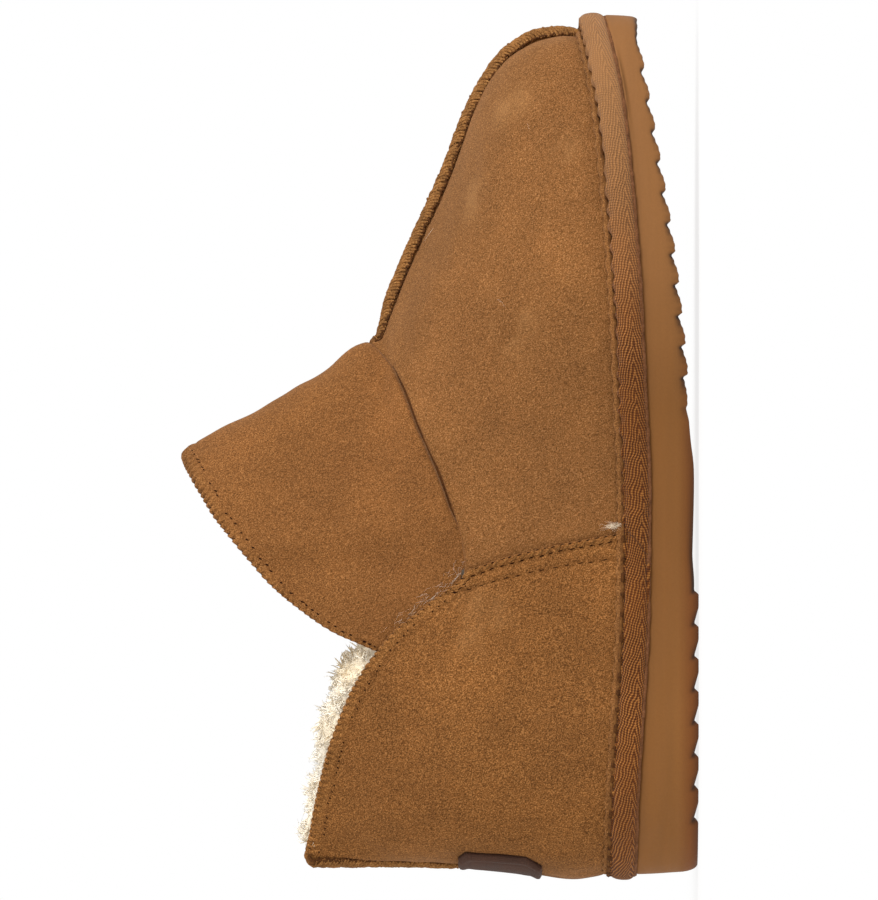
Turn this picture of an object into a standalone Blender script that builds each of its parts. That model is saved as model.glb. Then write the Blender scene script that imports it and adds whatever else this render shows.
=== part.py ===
"""Suede ankle slipper, left foot, with a tall front cuff, a shearling lining and a ribbed sole.

Metres, +Z up. The toe points to -Y and the wearer's right, the inner side of this left shoe, to -X.
The shoe stands on Z = 0, and the middle of its bounding box is at X = Y = 0.

Everything is laid out from two driving shapes: the plan outline of the sole, and the last. The last
is a stack of level rings. Each ring runs from the front line (toe, instep and cuff front) to the rear
line (heel), its half width is worked out from the sole's outline low down and from an oval higher up,
and a depth moves it inwards by that much. Every piece of the upper is a region of the last between
two depths. Sizes in the tables are millimetres, and "along" is the distance back from the toe.
"""

import math

import bmesh
import bpy
import numpy as np
from mathutils import Vector

MM = 0.001
GAP = 0.3

# Sole
SOLE_LENGTH = 265.0
BALL_ALONG = 80.0
HEEL_ROUND = 50.0
TOE_BLUNTNESS = 0.385
HEEL_BLUNTNESS = 0.44
TOE_SPRING = 18.0
SOLE_TOE_INSET = 0.4
SPRING_END = 114.0
SPRING_POWER = 1.15
ARCH_LIFT = 0.8
RIB_DEPTH = 1.9
RIB_STEP = 0.7
FORE_RIBS, FORE_RIB_START, FORE_RIB_PITCH = 12, 9.0, 9.3
HEEL_RIBS, HEEL_RIB_START, HEEL_RIB_PITCH = 7, 177.0, 9.9
RIB_LAND = 0.42

# Upper, all depths measured inwards from the last
RAND_HEIGHT = 7.2
VAMP_WALL = (0.0, 2.0)
QUARTER_WALL = (-1.0, 1.0)
CUFF_WALL_FRONT = (-0.8, 1.2)
CUFF_WALL_REAR = (1.45, 3.45)
CUFF_TUCK = 8.0
CUFF_END_ANGLE = 107.0
INSOLE_THICKNESS = 5.0
FLEECE_DEPTH_FRONT = 3.2
FLEECE_DEPTH_REAR = 4.3
FLEECE_FOOT = 6.0
FLEECE_COLLAR = 14.0
FLEECE_DROP = 5.5
FLEECE_RISE = 3.0
LOCK_HEIGHT = 1.1

# Trim
SEAM_WIDTH, SEAM_HEIGHT = 5.8, 3.2
HEEL_SEAM_WIDTH, HEEL_SEAM_HEIGHT = 5.0, 2.2
LABEL_BOTTOM, LABEL_TOP = 47.5, 73.0
LABEL_HALF_ANGLE_BOTTOM, LABEL_HALF_ANGLE_TOP = 21.5, 20.0
LABEL_THICKNESS = 1.2

# Plan: half width before the round ends, centre line of the sole and of the instep ridge, and how
# far the rand stands out beyond the upper.
PLAN = (
    # along, half_width, sole_centre, ridge_centre, rand_cover
    (0.0, 51.4, -6.9, -0.5, 5.0),
    (10.0, 51.4, -4.6, 0.2, 5.4),
    (28.0, 51.4, -2.7, 1.2, 6.0),
    (52.0, 51.4, -1.5, 2.3, 6.5),
    (80.0, 51.4, -0.3, 3.0, 6.5),
    (100.0, 50.0, 1.3, 3.2, 6.2),
    (124.0, 45.6, 3.0, 3.0, 5.2),
    (148.0, 42.9, 2.1, 2.4, 4.2),
    (170.0, 41.0, 1.1, 1.4, 3.6),
    (207.0, 40.8, -0.2, -0.6, 3.6),
    (240.0, 40.8, -0.5, -1.2, 3.8),
    (265.0, 40.8, 0.7, -1.2, 3.8),
)
# Side: top face of the sole, which the upper, the rand and the insole stand on.
SOLE_TOP = (
    # along, height
    (0.0, 28.6),
    (27.0, 23.0),
    (57.0, 19.8),
    (85.0, 17.7),
    (118.0, 16.0),
    (149.0, 14.8),
    (186.0, 15.3),
    (210.0, 16.6),
    (240.0, 18.4),
    (265.0, 19.1),
)
# Front line of the last: up the toe, along the instep, then up the cuff.
FRONT_LINE = (
    # height, along
    (15.0, 7.8),
    (30.0, 7.4),
    (40.0, 7.7),
    (48.0, 10.2),
    (54.5, 15.2),
    (60.2, 22.4),
    (65.6, 32.0),
    (70.1, 43.6),
    (75.1, 55.6),
    (81.1, 68.6),
    (86.3, 80.6),
    (91.2, 92.4),
    (95.4, 101.4),
    (100.0, 103.2),
    (105.0, 105.4),
    (113.0, 110.8),
    (122.7, 116.8),
    (134.3, 123.3),
    (145.3, 129.2),
    (155.7, 135.0),
    (170.0, 143.0),
)
REAR_LINE = (
    # height, along
    (15.0, 260.0),
    (25.0, 260.6),
    (32.0, 262.0),
    (38.0, 262.7),
    (46.0, 261.7),
    (55.0, 260.0),
    (74.0, 258.3),
    (95.0, 257.5),
    (119.0, 257.2),
    (170.0, 256.0),
)
# Half width of the oval that the rings become, and how pointed its rear end is.
OVAL = (
    # height, half_width, rear_power
    (15.0, 37.3, 0.44),
    (45.0, 36.8, 0.46),
    (75.0, 33.8, 0.48),
    (95.0, 31.8, 0.7),
    (112.0, 30.6, 0.96),
    (130.0, 30.2, 1.0),
    (170.0, 30.0, 1.0),
)
# Front edge of the heel quarters, where they lap over the vamp.
LAP_LINE = (
    # height, along
    (15.0, 157.6),
    (25.0, 159.0),
    (45.0, 162.7),
    (60.0, 166.4),
    (70.0, 169.6),
    (80.0, 170.5),
    (170.0, 170.5),
)
# Top edge of the upper: the throat seam, the notch and the collar of the quarters.
UPPER_EDGE = (
    # along, height
    (80.0, 99.5),
    (101.5, 95.8),
    (113.0, 91.0),
    (126.4, 85.3),
    (144.6, 77.3),
    (157.0, 73.2),
    (168.5, 71.0),
    (172.0, 72.4),
    (180.0, 82.5),
    (191.7, 95.6),
    (210.0, 106.7),
    (234.5, 114.5),
    (265.0, 120.0),
)
CUFF_EDGE = (
    # along, height
    (120.0, 156.4),
    (134.0, 155.8),
    (140.0, 154.2),
    (152.0, 148.6),
    (164.0, 139.5),
    (176.5, 128.5),
    (182.6, 120.9),
    (188.7, 112.0),
    (193.0, 102.5),
    (200.0, 86.0),
)
# Section of the rand, as shares of its depth out from the upper and of its height.
RAND_PROFILE = (
    # out, up
    (0.0, 0.0),
    (0.62, 0.0),
    (0.92, 0.16),
    (1.0, 0.45),
    (0.96, 0.76),
    (0.72, 0.97),
    (0.3, 1.0),
    (0.0, 0.9),
)
# Half-round section of the raised seams, as shares of their width and height.
SEAM_PROFILE = (
    # across, up
    (-0.5, 0.0),
    (-0.46, 0.45),
    (-0.3, 0.82),
    (0.0, 1.0),
    (0.3, 0.82),
    (0.46, 0.45),
    (0.5, 0.0),
)
# Rounded edge of the lining, from its outer to its inner side, as shares of its thickness.
FLEECE_ROLL = (
    # across, lift
    (0.10, 0.55),
    (0.34, 0.95),
    (0.62, 0.85),
    (0.88, 0.38),
)

COLOURS = {
    # node: linear colour, roughness
    "outsole": ((0.30, 0.145, 0.058), 0.75),
    "rand": ((0.22, 0.095, 0.036), 0.9),
    "upper": ((0.30, 0.130, 0.042), 0.95),
    "cuff": ((0.31, 0.140, 0.046), 0.95),
    "fleece_lining": ((0.80, 0.700, 0.520), 1.0),
    "insole": ((0.66, 0.560, 0.400), 1.0),
    "toe_seam": ((0.36, 0.180, 0.060), 0.85),
    "heel_seam": ((0.36, 0.180, 0.060), 0.85),
    "heel_label": ((0.080, 0.042, 0.028), 0.6),
}


def column(table, index):
    return [row[index] for row in table]


def smooth(xs, ys, x):
    """Monotone cubic through the points, level beyond both ends."""
    if x <= xs[0]:
        return ys[0]
    if x >= xs[-1]:
        return ys[-1]
    i = max(k for k in range(len(xs) - 1) if xs[k] <= x)
    slopes = [(ys[k + 1] - ys[k]) / (xs[k + 1] - xs[k]) for k in range(len(xs) - 1)]

    def tangent(k):
        if k == 0 or k == len(xs) - 1:
            return slopes[min(k, len(slopes) - 1)]
        before, after = slopes[k - 1], slopes[k]
        return 0.0 if before * after <= 0.0 else 2.0 * before * after / (before + after)

    span = xs[i + 1] - xs[i]
    t = (x - xs[i]) / span
    return (
        ys[i] * (1 + 2 * t) * (1 - t) ** 2
        + tangent(i) * span * t * (1 - t) ** 2
        + ys[i + 1] * t * t * (3 - 2 * t)
        + tangent(i + 1) * span * t * t * (t - 1)
    )


def read(table, x, index=1):
    return smooth(column(table, 0), column(table, index), x)


def ease(x, start, end):
    t = min(1.0, max(0.0, (x - start) / (end - start)))
    return t * t * (3 - 2 * t)


def mix(a, b, share):
    return a + (b - a) * share


# The sole's outline

def end_rounding(along):
    """Share of the full half width left by the round toe and heel."""
    toe = 1 - max(0.0, 1 - along / BALL_ALONG) ** 2
    heel = 1 - max(0.0, 1 - (SOLE_LENGTH - along) / HEEL_ROUND) ** 2
    return max(0.0, toe) ** TOE_BLUNTNESS * max(0.0, heel) ** HEEL_BLUNTNESS


def outline(share, inset, toe_inset):
    """Along and half width of the outline moved in by inset, at this share of its length."""
    along = toe_inset + share * (SOLE_LENGTH - inset - toe_inset)
    half = (read(PLAN, along) - inset) * end_rounding(share * SOLE_LENGTH)
    return along, half


def sole_top(along):
    return read(SOLE_TOP, along)


# The last

FRONT_SAMPLES = np.array([(z, read(FRONT_LINE, z)) for z in np.linspace(15, 170, 311)])
REAR_SAMPLES = np.array([(z, read(REAR_LINE, z)) for z in np.linspace(15, 170, 311)])


def moved_line(samples, z, depth, inwards):
    """The line moved by depth, at this height: the far side of circles drawn along it."""
    reach = depth * depth - (samples[:, 0] - z) ** 2
    near = reach >= 0
    if abs(depth) < 0.3 or not near.any():
        return float(np.interp(z, samples[:, 0], samples[:, 1])) + depth * inwards
    sign = inwards if depth > 0 else -inwards
    edge = samples[near, 1] + sign * np.sqrt(reach[near])
    return float(edge.max() if sign > 0 else edge.min())


def ring_ends(z, depth):
    return moved_line(FRONT_SAMPLES, z, depth, 1), moved_line(REAR_SAMPLES, z, depth, -1)


def half_width(along, z, depth, ends):
    front, rear = ends
    share = min(1.0, max(0.0, (along - front) / (rear - front)))
    on_sole = share * SOLE_LENGTH
    low = (read(PLAN, on_sole) - read(PLAN, on_sole, 4) - depth) * end_rounding(on_sole)
    power = 0.5 if share < 0.5 else mix(0.5, read(OVAL, z, 2), ease(share, 0.5, 0.72))
    high = (read(OVAL, z) - depth) * max(0.0, 1 - (2 * share - 1) ** 2) ** power
    raised = mix(ease(z, 30.0, 100.0), ease(z, 60.0, 118.0), ease(share, 0.5, 0.8))
    return mix(low, high, raised)


def centre(along, z):
    return mix(read(PLAN, along, 2), read(PLAN, along, 3), ease(z, 18.0, 78.0))


def surface(angle, z, depth):
    """Point of the last. Angle 0 is the toe, +-90 the lap line and 180 the heel, + on the outer side."""
    angle = (angle + 180.0) % 360.0 - 180.0
    side = -1.0 if angle < 0 else 1.0
    ends = ring_ends(z, depth)
    lap = read(LAP_LINE, z)
    turn = math.cos(math.radians(angle))
    along = lap - turn * ((lap - ends[0]) if turn > 0 else (ends[1] - lap))
    across = centre(along, z) + side * half_width(along, z, depth, ends)
    return np.array((across, along, z))


def upward(angle, z, depth):
    """How far the last faces up here: 0 on an upright wall, 1 on a level one."""
    around = surface(angle + 0.8, z, depth) - surface(angle - 0.8, z, depth)
    rising = surface(angle, z + 0.4, depth) - surface(angle, z - 0.4, depth)
    normal = np.cross(around, rising)
    return abs(normal[2]) / max(1e-9, float(np.linalg.norm(normal)))


def height_on(table, angle, depth, lowest, highest):
    """Where this column of the last meets the edge that the table gives, found by halving."""
    for _ in range(26):
        z = 0.5 * (lowest + highest)
        if z < read(table, surface(angle, z, depth)[1]):
            lowest = z
        else:
            highest = z
    return lowest


def upper_top(angle, depth):
    return height_on(UPPER_EDGE, angle, depth, 50.0, 125.0)


def cuff_top(angle, depth):
    return height_on(CUFF_EDGE, angle, depth, 80.0, 165.0)


def foot_height(angle, depth, lift=GAP):
    """Where this column stands on the sole."""
    z = 20.0
    for _ in range(4):
        z = sole_top(surface(angle, z, depth)[1]) + lift
    return z


def spread(start, end, count):
    return [mix(start, end, i / (count - 1)) for i in range(count)]


def wall_section(angle, outer, inner, bottom, top, rows):
    """Closed section of a wall: up its outer side and down its inner one."""
    up = [surface(angle, z, outer) for z in spread(bottom, top, rows)]
    thick = inner - outer
    rim = top - thick * upward(angle, top, outer)
    down = [surface(angle, z, inner) for z in spread(bottom, rim, rows)]
    return up + down[::-1]


# Making objects

def material(name):
    colour, roughness = COLOURS[name]
    made = bpy.data.materials.new(name)
    made.use_nodes = True
    shader = made.node_tree.nodes["Principled BSDF"]
    shader.inputs["Base Color"].default_value = (*colour, 1.0)
    shader.inputs["Roughness"].default_value = roughness
    made.diffuse_color = (*colour, 1.0)
    return made


def loft(name, sections, ring=False, sharp=40.0):
    """Skins closed sections with the same number of points, as a ring or with both ends capped."""
    made = bmesh.new()
    rows = []
    for section in sections:
        rows.append([made.verts.new(Vector(point) * MM) for point in section])
    pairs = list(zip(rows, rows[1:] + rows[:1])) if ring else list(zip(rows, rows[1:]))
    for first, second in pairs:
        for i in range(len(first)):
            j = (i + 1) % len(first)
            made.faces.new((first[i], first[j], second[j], second[i]))
    if not ring:
        made.faces.new(rows[0])
        made.faces.new(rows[-1])
    bmesh.ops.triangulate(made, faces=made.faces)
    bmesh.ops.recalc_face_normals(made, faces=made.faces)
    if made.calc_volume(signed=True) < 0:
        bmesh.ops.reverse_faces(made, faces=made.faces)
    mesh = bpy.data.meshes.new(name)
    made.to_mesh(mesh)
    made.free()
    mesh.shade_smooth()
    mesh.set_sharp_from_angle(angle=math.radians(sharp))
    mesh.materials.append(material(name))
    obj = bpy.data.objects.new(name, mesh)
    bpy.context.scene.collection.objects.link(obj)
    return obj


# The pieces

def tread(along):
    """How far the bottom is cut in at this distance, and lifted by the toe spring and the arch."""
    share = max(0.0, 1 - along / SPRING_END)
    lift = TOE_SPRING * share**SPRING_POWER
    arch = ease(along, 122.0, 134.0) * (1 - ease(along, 164.0, 175.0))
    return lift + ARCH_LIFT * arch


def rib_stations():
    """Pairs of (along, cut): saw teeth that step in behind each forefoot rib and before each heel rib."""
    pairs = []
    for i in range(FORE_RIBS):
        start = FORE_RIB_START + i * FORE_RIB_PITCH
        land = start + FORE_RIB_PITCH * (1 - RIB_LAND)
        pairs += [(start, RIB_DEPTH), (land, 0.0), (start + FORE_RIB_PITCH - RIB_STEP, 0.0)]
    end = FORE_RIB_START + FORE_RIBS * FORE_RIB_PITCH
    pairs += [(end, RIB_DEPTH * 0.4), (end + 4.0, 0.0)]
    for i in range(HEEL_RIBS):
        start = HEEL_RIB_START + i * HEEL_RIB_PITCH
        land = start + HEEL_RIB_PITCH * RIB_LAND
        pairs += [(start - RIB_STEP, RIB_DEPTH), (start, 0.0), (land, 0.0)]
    last = HEEL_RIB_START + HEEL_RIBS * HEEL_RIB_PITCH
    pairs += [(last - RIB_STEP, RIB_DEPTH), (last, 0.0)]
    return pairs


def outsole():
    top_in, wall_in, low_in, tread_in = 2.0, 2.3, 3.0, 4.8
    front = SOLE_TOE_INSET * tread_in
    reach = SOLE_LENGTH - tread_in - front
    stations = [(0.0004, 0.0), (0.002, 0.0), (0.006, 0.0), (0.013, 0.0)]
    stations += [((along - front) / reach, cut) for along, cut in rib_stations()]
    stations += [(share, 0.0) for share in spread(0.53, 0.62, 4)]
    stations += [(share, 0.0) for share in (0.955, 0.973, 0.986, 0.994, 0.998, 0.9996)]
    sections = []
    for share, cut in sorted(stations):
        levels = []
        for inset, level in ((top_in, "top"), (wall_in, "wall"), (low_in, "low"), (tread_in, "tread")):
            along, half = outline(share, inset, SOLE_TOE_INSET * inset)
            ground = tread(along)
            height = {
                "top": sole_top(along),
                "wall": mix(ground, sole_top(along), 0.6),
                "low": ground + 3.0,
                "tread": ground + cut,
            }[level]
            levels.append((read(PLAN, along, 2), half, along, height))
        right = [(x - half, along, z) for x, half, along, z in levels]
        left = [(x + half, along, z) for x, half, along, z in levels]
        sections.append(right + left[::-1])
    return loft("outsole", sections, sharp=28.0)


def rand():
    """Rolled tape round the foot of the upper: a full, rounded strip standing on the sole."""
    sections = []
    for angle in spread(-180.0, 180.0 - 360.0 / 88, 88):
        clear = -GAP - 0.15 + (QUARTER_WALL[0] if abs(angle) >= 89.0 else 0.0)
        foot = foot_height(angle, clear)
        inside = surface(angle, foot, clear)
        ends = ring_ends(foot, clear)
        share = (inside[1] - ends[0]) / (ends[1] - ends[0])
        side = -1.0 if angle < 0 else 1.0
        along, half = outline(share, 0.0, 0.0)
        outside = np.array((read(PLAN, along, 2) + side * half, along, 0.0))
        section = []
        for out, up in RAND_PROFILE:
            z = foot + up * RAND_HEIGHT
            base = surface(angle, z, clear)
            point = mix(base, outside, out)
            section.append((point[0], point[1], z + (sole_top(point[1]) + GAP - foot)))
        sections.append(section)
    return loft("rand", sections, ring=True, sharp=80.0)


FRONT_ANGLES = spread(0.0, 90.0, 17)
REAR_ANGLES = spread(90.0, 180.0, 13)


def upper_columns():
    """Angles round the upper with the wall's depths. The lap line is there twice, once for each wall."""
    outer_side = [(angle, VAMP_WALL) for angle in FRONT_ANGLES]
    outer_side += [(angle, QUARTER_WALL) for angle in REAR_ANGLES]
    inner_side = [(-angle, wall) for angle, wall in outer_side[1:-1]]
    return outer_side + inner_side[::-1]


def wall_angles():
    """The same angles, each once."""
    outer_side = FRONT_ANGLES + REAR_ANGLES[1:]
    return outer_side + [-angle for angle in outer_side[-2:0:-1]]


def upper():
    sections = []
    for angle, (outer, inner) in upper_columns():
        bottom = foot_height(angle, outer)
        top = upper_top(angle, outer)
        sections.append(wall_section(angle, outer, inner, bottom, top, 12))
    return loft("upper", sections, ring=True, sharp=50.0)


def cuff_depths(angle):
    """The cuff stands proud of the vamp in front and passes inside the quarters behind."""
    share = ease(abs(angle), 62.0, 86.0)
    return [mix(front, rear, share) for front, rear in zip(CUFF_WALL_FRONT, CUFF_WALL_REAR)]


def cuff_foot(angle):
    """The cuff stands on the throat edge, and its rear ends reach down behind the quarters' edge."""
    if abs(angle) <= 90.0:
        return upper_top(angle, VAMP_WALL[0]) + GAP
    notch = upper_top(90.0, VAMP_WALL[0]) + GAP
    return max(upper_top(angle, QUARTER_WALL[0]) - CUFF_TUCK, notch)


def cuff():
    half = spread(0.0, 90.0, 17) + [97.5, 102.0, CUFF_END_ANGLE]
    angles = [-angle for angle in half[:0:-1]] + half
    sections = []
    for angle in angles:
        outer, inner = cuff_depths(angle)
        bottom = cuff_foot(angle)
        top = cuff_top(angle, outer)
        up = [surface(angle, z, outer) for z in spread(bottom, top, 9)]
        down = [surface(angle, z, inner) for z in spread(bottom, top, 9)]
        sections.append(up + down[::-1])
    return loft("cuff", sections, sharp=50.0)


def insole():
    depth = VAMP_WALL[1] + 2 * GAP
    sections = []
    for angle in [3.0] + spread(8.0, 172.0, 26) + [177.0]:
        foot = foot_height(angle, depth)
        corners = []
        for side, lift in ((-1, 0.0), (-1, INSOLE_THICKNESS), (1, INSOLE_THICKNESS), (1, 0.0)):
            corners.append(surface(side * angle, foot + lift, depth))
        sections.append(corners)
    return loft("insole", sections, sharp=40.0)


def fleece_depth(angle):
    """Outer side of the lining, which passes behind the tucked ends of the cuff."""
    away = abs(angle)
    beside_vamp = mix(FLEECE_DEPTH_FRONT, FLEECE_DEPTH_REAR, ease(away, 50.0, 76.0))
    return mix(beside_vamp, QUARTER_WALL[1] + 1.2, ease(away, CUFF_END_ANGLE + 4.0, 130.0))


def fleece_top(angle):
    """Top of the lining's outer side: just under the cuff's edge, and showing over the quarters'."""
    if abs(angle) < 90.0:
        return cuff_top(angle, FLEECE_DEPTH_FRONT) - FLEECE_DROP
    along = surface(angle, 100.0, 0.0)[1]
    over_cuff = read(CUFF_EDGE, along) - FLEECE_DROP
    over_quarter = read(UPPER_EDGE, along) + FLEECE_RISE - (FLEECE_RISE + 4.5) * ease(along, 200.0, 245.0)
    return mix(over_cuff, over_quarter, ease(along, 181.0, 196.0))


def locks(angle, row):
    """Small rounded lumps of the pile, as a share of the lock height."""
    turn = math.radians(angle)
    coarse = math.sin(9 * turn + 1.7 * row) * math.cos(5 * turn - 0.9 * row)
    fine = 0.6 * math.sin(15 * turn - 2.3 * row + 0.8)
    return coarse + fine


def fleece_lining():
    sections = []
    for angle in wall_angles():
        outer = fleece_depth(angle)
        bottom = foot_height(angle, outer, GAP * 2 + INSOLE_THICKNESS)
        bend = upper_top(angle, outer) - 1.0
        top = fleece_top(angle)
        section = [surface(angle, z, outer) for z in spread(bottom, bend, 9) + spread(bend, top, 6)[1:]]
        lift_scale = 0.5 * FLEECE_COLLAR
        for n, (across, lift) in enumerate(FLEECE_ROLL):
            depth = outer + across * FLEECE_COLLAR
            bump = LOCK_HEIGHT * locks(angle, n)
            section.append(surface(angle, top - lift_scale * across + lift_scale * lift + bump, depth))
        inner_top = top - 0.75 * lift_scale
        for n, z in enumerate(spread(inner_top, bottom, 12)):
            thick = mix(FLEECE_FOOT, FLEECE_COLLAR, ease(z, 52.0, 84.0))
            if n < 9:
                thick += LOCK_HEIGHT * locks(angle, n + 4)
            section.append(surface(angle, z, outer + thick))
        sections.append(section)
    return loft("fleece_lining", sections, ring=True, sharp=70.0)


def seam_sections(path, width, height):
    """Half-round strip along a path of (point, outward direction), lying 0.3 mm off the surface."""
    side = np.array((1.0, 0.0, 0.0))
    sections = []
    for point, out in path:
        sections.append([point + side * width * a + out * (GAP + height * b) for a, b in SEAM_PROFILE])
    return sections


def line_path(angle, heights, depth):
    """Points up one column of the last with the outward direction in the upright plane."""
    path = []
    for z in heights:
        rising = surface(angle, z + 0.3, depth) - surface(angle, z - 0.3, depth)
        along, up = rising[1], rising[2]
        length = math.hypot(along, up)
        out = np.array((0.0, -up / length, along / length))
        if abs(angle) > 90.0:
            out = -out
        path.append((surface(angle, z, depth), out))
    return path


def toe_seam():
    start = foot_height(0.0, 0.0) + RAND_HEIGHT + 1.0
    end = upper_top(0.0, VAMP_WALL[0]) - 1.0
    heights = spread(start, 48.0, 5) + spread(50.0, 66.0, 9) + spread(69.0, end, 12)
    path = line_path(0.0, heights, VAMP_WALL[0] - 0.7)
    return loft("toe_seam", seam_sections(path, SEAM_WIDTH, SEAM_HEIGHT), sharp=60.0)


def heel_seam():
    top = upper_top(180.0, QUARTER_WALL[0])
    heights = spread(LABEL_TOP + 1.0, top - 0.5, 9)
    path = line_path(180.0, heights, QUARTER_WALL[0] - 0.15)
    return loft("heel_seam", seam_sections(path, HEEL_SEAM_WIDTH, HEEL_SEAM_HEIGHT), sharp=60.0)


def heel_label():
    inner = QUARTER_WALL[0] - GAP
    outer = inner - LABEL_THICKNESS
    sections = []
    rows = spread(0.0, 1.0, 4)
    corners = [(outer, up) for up in rows] + [(inner, up) for up in rows[::-1]]
    for share in spread(-1.0, 1.0, 17):
        section = []
        for depth, up in corners:
            half = mix(LABEL_HALF_ANGLE_BOTTOM, LABEL_HALF_ANGLE_TOP, up)
            section.append(surface(180.0 + share * half, mix(LABEL_BOTTOM, LABEL_TOP, up), depth))
        sections.append(section)
    return loft("heel_label", sections, sharp=40.0)


def settle(objects):
    """Stands the finished shoe on Z = 0 with the middle of its box over the origin."""
    points = np.array([vertex.co for obj in objects for vertex in obj.data.vertices])
    low, high = points.min(axis=0), points.max(axis=0)
    shift = Vector((-0.5 * (low[0] + high[0]), -0.5 * (low[1] + high[1]), -low[2]))
    for obj in objects:
        for vertex in obj.data.vertices:
            vertex.co += shift
        obj.data.update()


def main():
    for obj in list(bpy.data.objects):
        bpy.data.objects.remove(obj, do_unlink=True)
    pieces = (outsole, rand, upper, cuff, insole, fleece_lining, toe_seam, heel_seam, heel_label)
    settle([piece() for piece in pieces])


main()
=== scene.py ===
"""Finish of the suede ankle slipper: nap, twill tape, overlocked seams, shearling pile and foam sole.

The pieces are laid on the same last as the solids they stand for. Sizes are in millimetres: "along" is
the distance back from the toe, heights are measured from the floor, and a depth is measured inwards
from the last. An angle goes round the shoe: 0 is the toe, +-90 the lap of the heel quarters, 180 the
heel, and minus is the wearer's inner side.
"""

import math

import bmesh
import bpy
import numpy as np
from bpy.props import FloatProperty, FloatVectorProperty, IntProperty, PointerProperty
from mathutils import Matrix, Vector, noise as solid_noise


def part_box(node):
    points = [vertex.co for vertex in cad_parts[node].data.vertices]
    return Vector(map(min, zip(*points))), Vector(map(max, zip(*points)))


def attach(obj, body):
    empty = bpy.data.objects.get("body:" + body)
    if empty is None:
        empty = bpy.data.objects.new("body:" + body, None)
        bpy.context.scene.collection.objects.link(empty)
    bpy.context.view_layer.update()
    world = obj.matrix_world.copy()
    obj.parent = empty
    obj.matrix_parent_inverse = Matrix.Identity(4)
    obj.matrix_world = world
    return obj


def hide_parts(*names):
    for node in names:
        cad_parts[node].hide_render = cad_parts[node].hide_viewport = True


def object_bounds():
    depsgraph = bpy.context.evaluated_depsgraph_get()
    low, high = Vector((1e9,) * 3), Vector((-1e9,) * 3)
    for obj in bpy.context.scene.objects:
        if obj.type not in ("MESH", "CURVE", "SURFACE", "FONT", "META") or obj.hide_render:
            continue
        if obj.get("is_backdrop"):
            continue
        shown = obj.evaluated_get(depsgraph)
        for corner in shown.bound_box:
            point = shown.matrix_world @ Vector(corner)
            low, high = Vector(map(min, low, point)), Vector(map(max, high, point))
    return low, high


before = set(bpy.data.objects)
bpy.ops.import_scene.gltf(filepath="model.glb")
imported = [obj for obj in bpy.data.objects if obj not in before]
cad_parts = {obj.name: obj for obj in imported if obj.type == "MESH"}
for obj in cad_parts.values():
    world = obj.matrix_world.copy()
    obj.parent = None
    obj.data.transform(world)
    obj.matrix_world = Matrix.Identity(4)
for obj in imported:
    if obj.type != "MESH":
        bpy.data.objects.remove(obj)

bl_info = {
    "name": "Suede Slipper",
    "version": (1, 0, 0),
    "blender": (4, 5, 0),
    "location": "3D View > Sidebar > Slipper",
    "description": "Builds the visible pieces of a shearling-lined suede slipper on its last",
    "category": "Object",
}

MM = 0.001
CAD_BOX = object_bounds()
SOLE_LENGTH = (CAD_BOX[1].y - CAD_BOX[0].y) / MM
BALL_ALONG = 80.0
HEEL_ROUND = 50.0
TOE_BLUNTNESS = 0.385
HEEL_BLUNTNESS = 0.44
RIPPLE_WAVES = 14
MERGE = 0.002

# Depths of the walls, measured inwards from the last
VAMP_WALL = (0.0, 2.0)
QUARTER_WALL = (-1.0, 1.0)
CUFF_WALL_FRONT = (-0.8, 1.2)
CUFF_WALL_REAR = (1.45, 3.45)
CUFF_TUCK = 8.0
CUFF_END_ANGLE = 107.0

PLAN = np.array((
    # along, half width, centre of the sole, centre of the instep ridge, cover of the rand
    (0, 51.4, -6.9, -0.5, 5), (10, 51.4, -4.6, 0.2, 5.4), (28, 51.4, -2.7, 1.2, 6),
    (52, 51.4, -1.5, 2.3, 6.5), (80, 51.4, -0.3, 3, 6.5), (100, 50, 1.3, 3.2, 6.2),
    (124, 45.6, 3, 3, 5.2), (148, 42.9, 2.1, 2.4, 4.2), (170, 41, 1.1, 1.4, 3.6),
    (207, 40.8, -0.2, -0.6, 3.6), (240, 40.8, -0.5, -1.2, 3.8), (265, 40.8, 0.7, -1.2, 3.8),
))
SOLE_TOP = np.array((
    # along, height
    (0, 28.6), (27, 23), (57, 19.8), (85, 17.7), (118, 16), (149, 14.8), (186, 15.3), (210, 16.6),
    (240, 18.4), (265, 19.1),
))
FRONT_LINE = np.array((
    # height, along
    (15, 7.8), (30, 7.4), (40, 7.7), (48, 10.2), (54.5, 15.2), (60.2, 22.4), (65.6, 32), (70.1, 43.6),
    (75.1, 55.6), (81.1, 68.6), (86.3, 80.6), (91.2, 92.4), (95.4, 101.4), (100, 103.2), (105, 105.4),
    (113, 110.8), (122.7, 116.8), (134.3, 123.3), (145.3, 129.2), (155.7, 135), (170, 143),
))
REAR_LINE = np.array((
    # height, along
    (15, 260), (25, 260.6), (32, 262), (38, 262.7), (46, 261.7), (55, 260), (74, 258.3), (95, 257.5),
    (119, 257.2), (170, 256),
))
OVAL = np.array((
    # height, half width, how pointed the rear end is
    (15, 37.3, 0.44), (45, 36.8, 0.46), (75, 33.8, 0.48), (95, 31.8, 0.7), (112, 30.6, 0.96),
    (130, 30.2, 1), (170, 30, 1),
))
LAP_LINE = np.array((
    # height, along
    (15, 157.6), (25, 159), (45, 162.7), (60, 166.4), (70, 169.6), (80, 170.5), (170, 170.5),
))
UPPER_EDGE = np.array((
    # along, height
    (80, 99.5), (101.5, 95.8), (113, 91), (126.4, 85.3), (144.6, 77.3), (157, 73.2), (168.5, 71),
    (172, 72.4), (180, 82.5), (191.7, 95.6), (210, 106.7), (234.5, 114.5), (265, 120),
))
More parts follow.
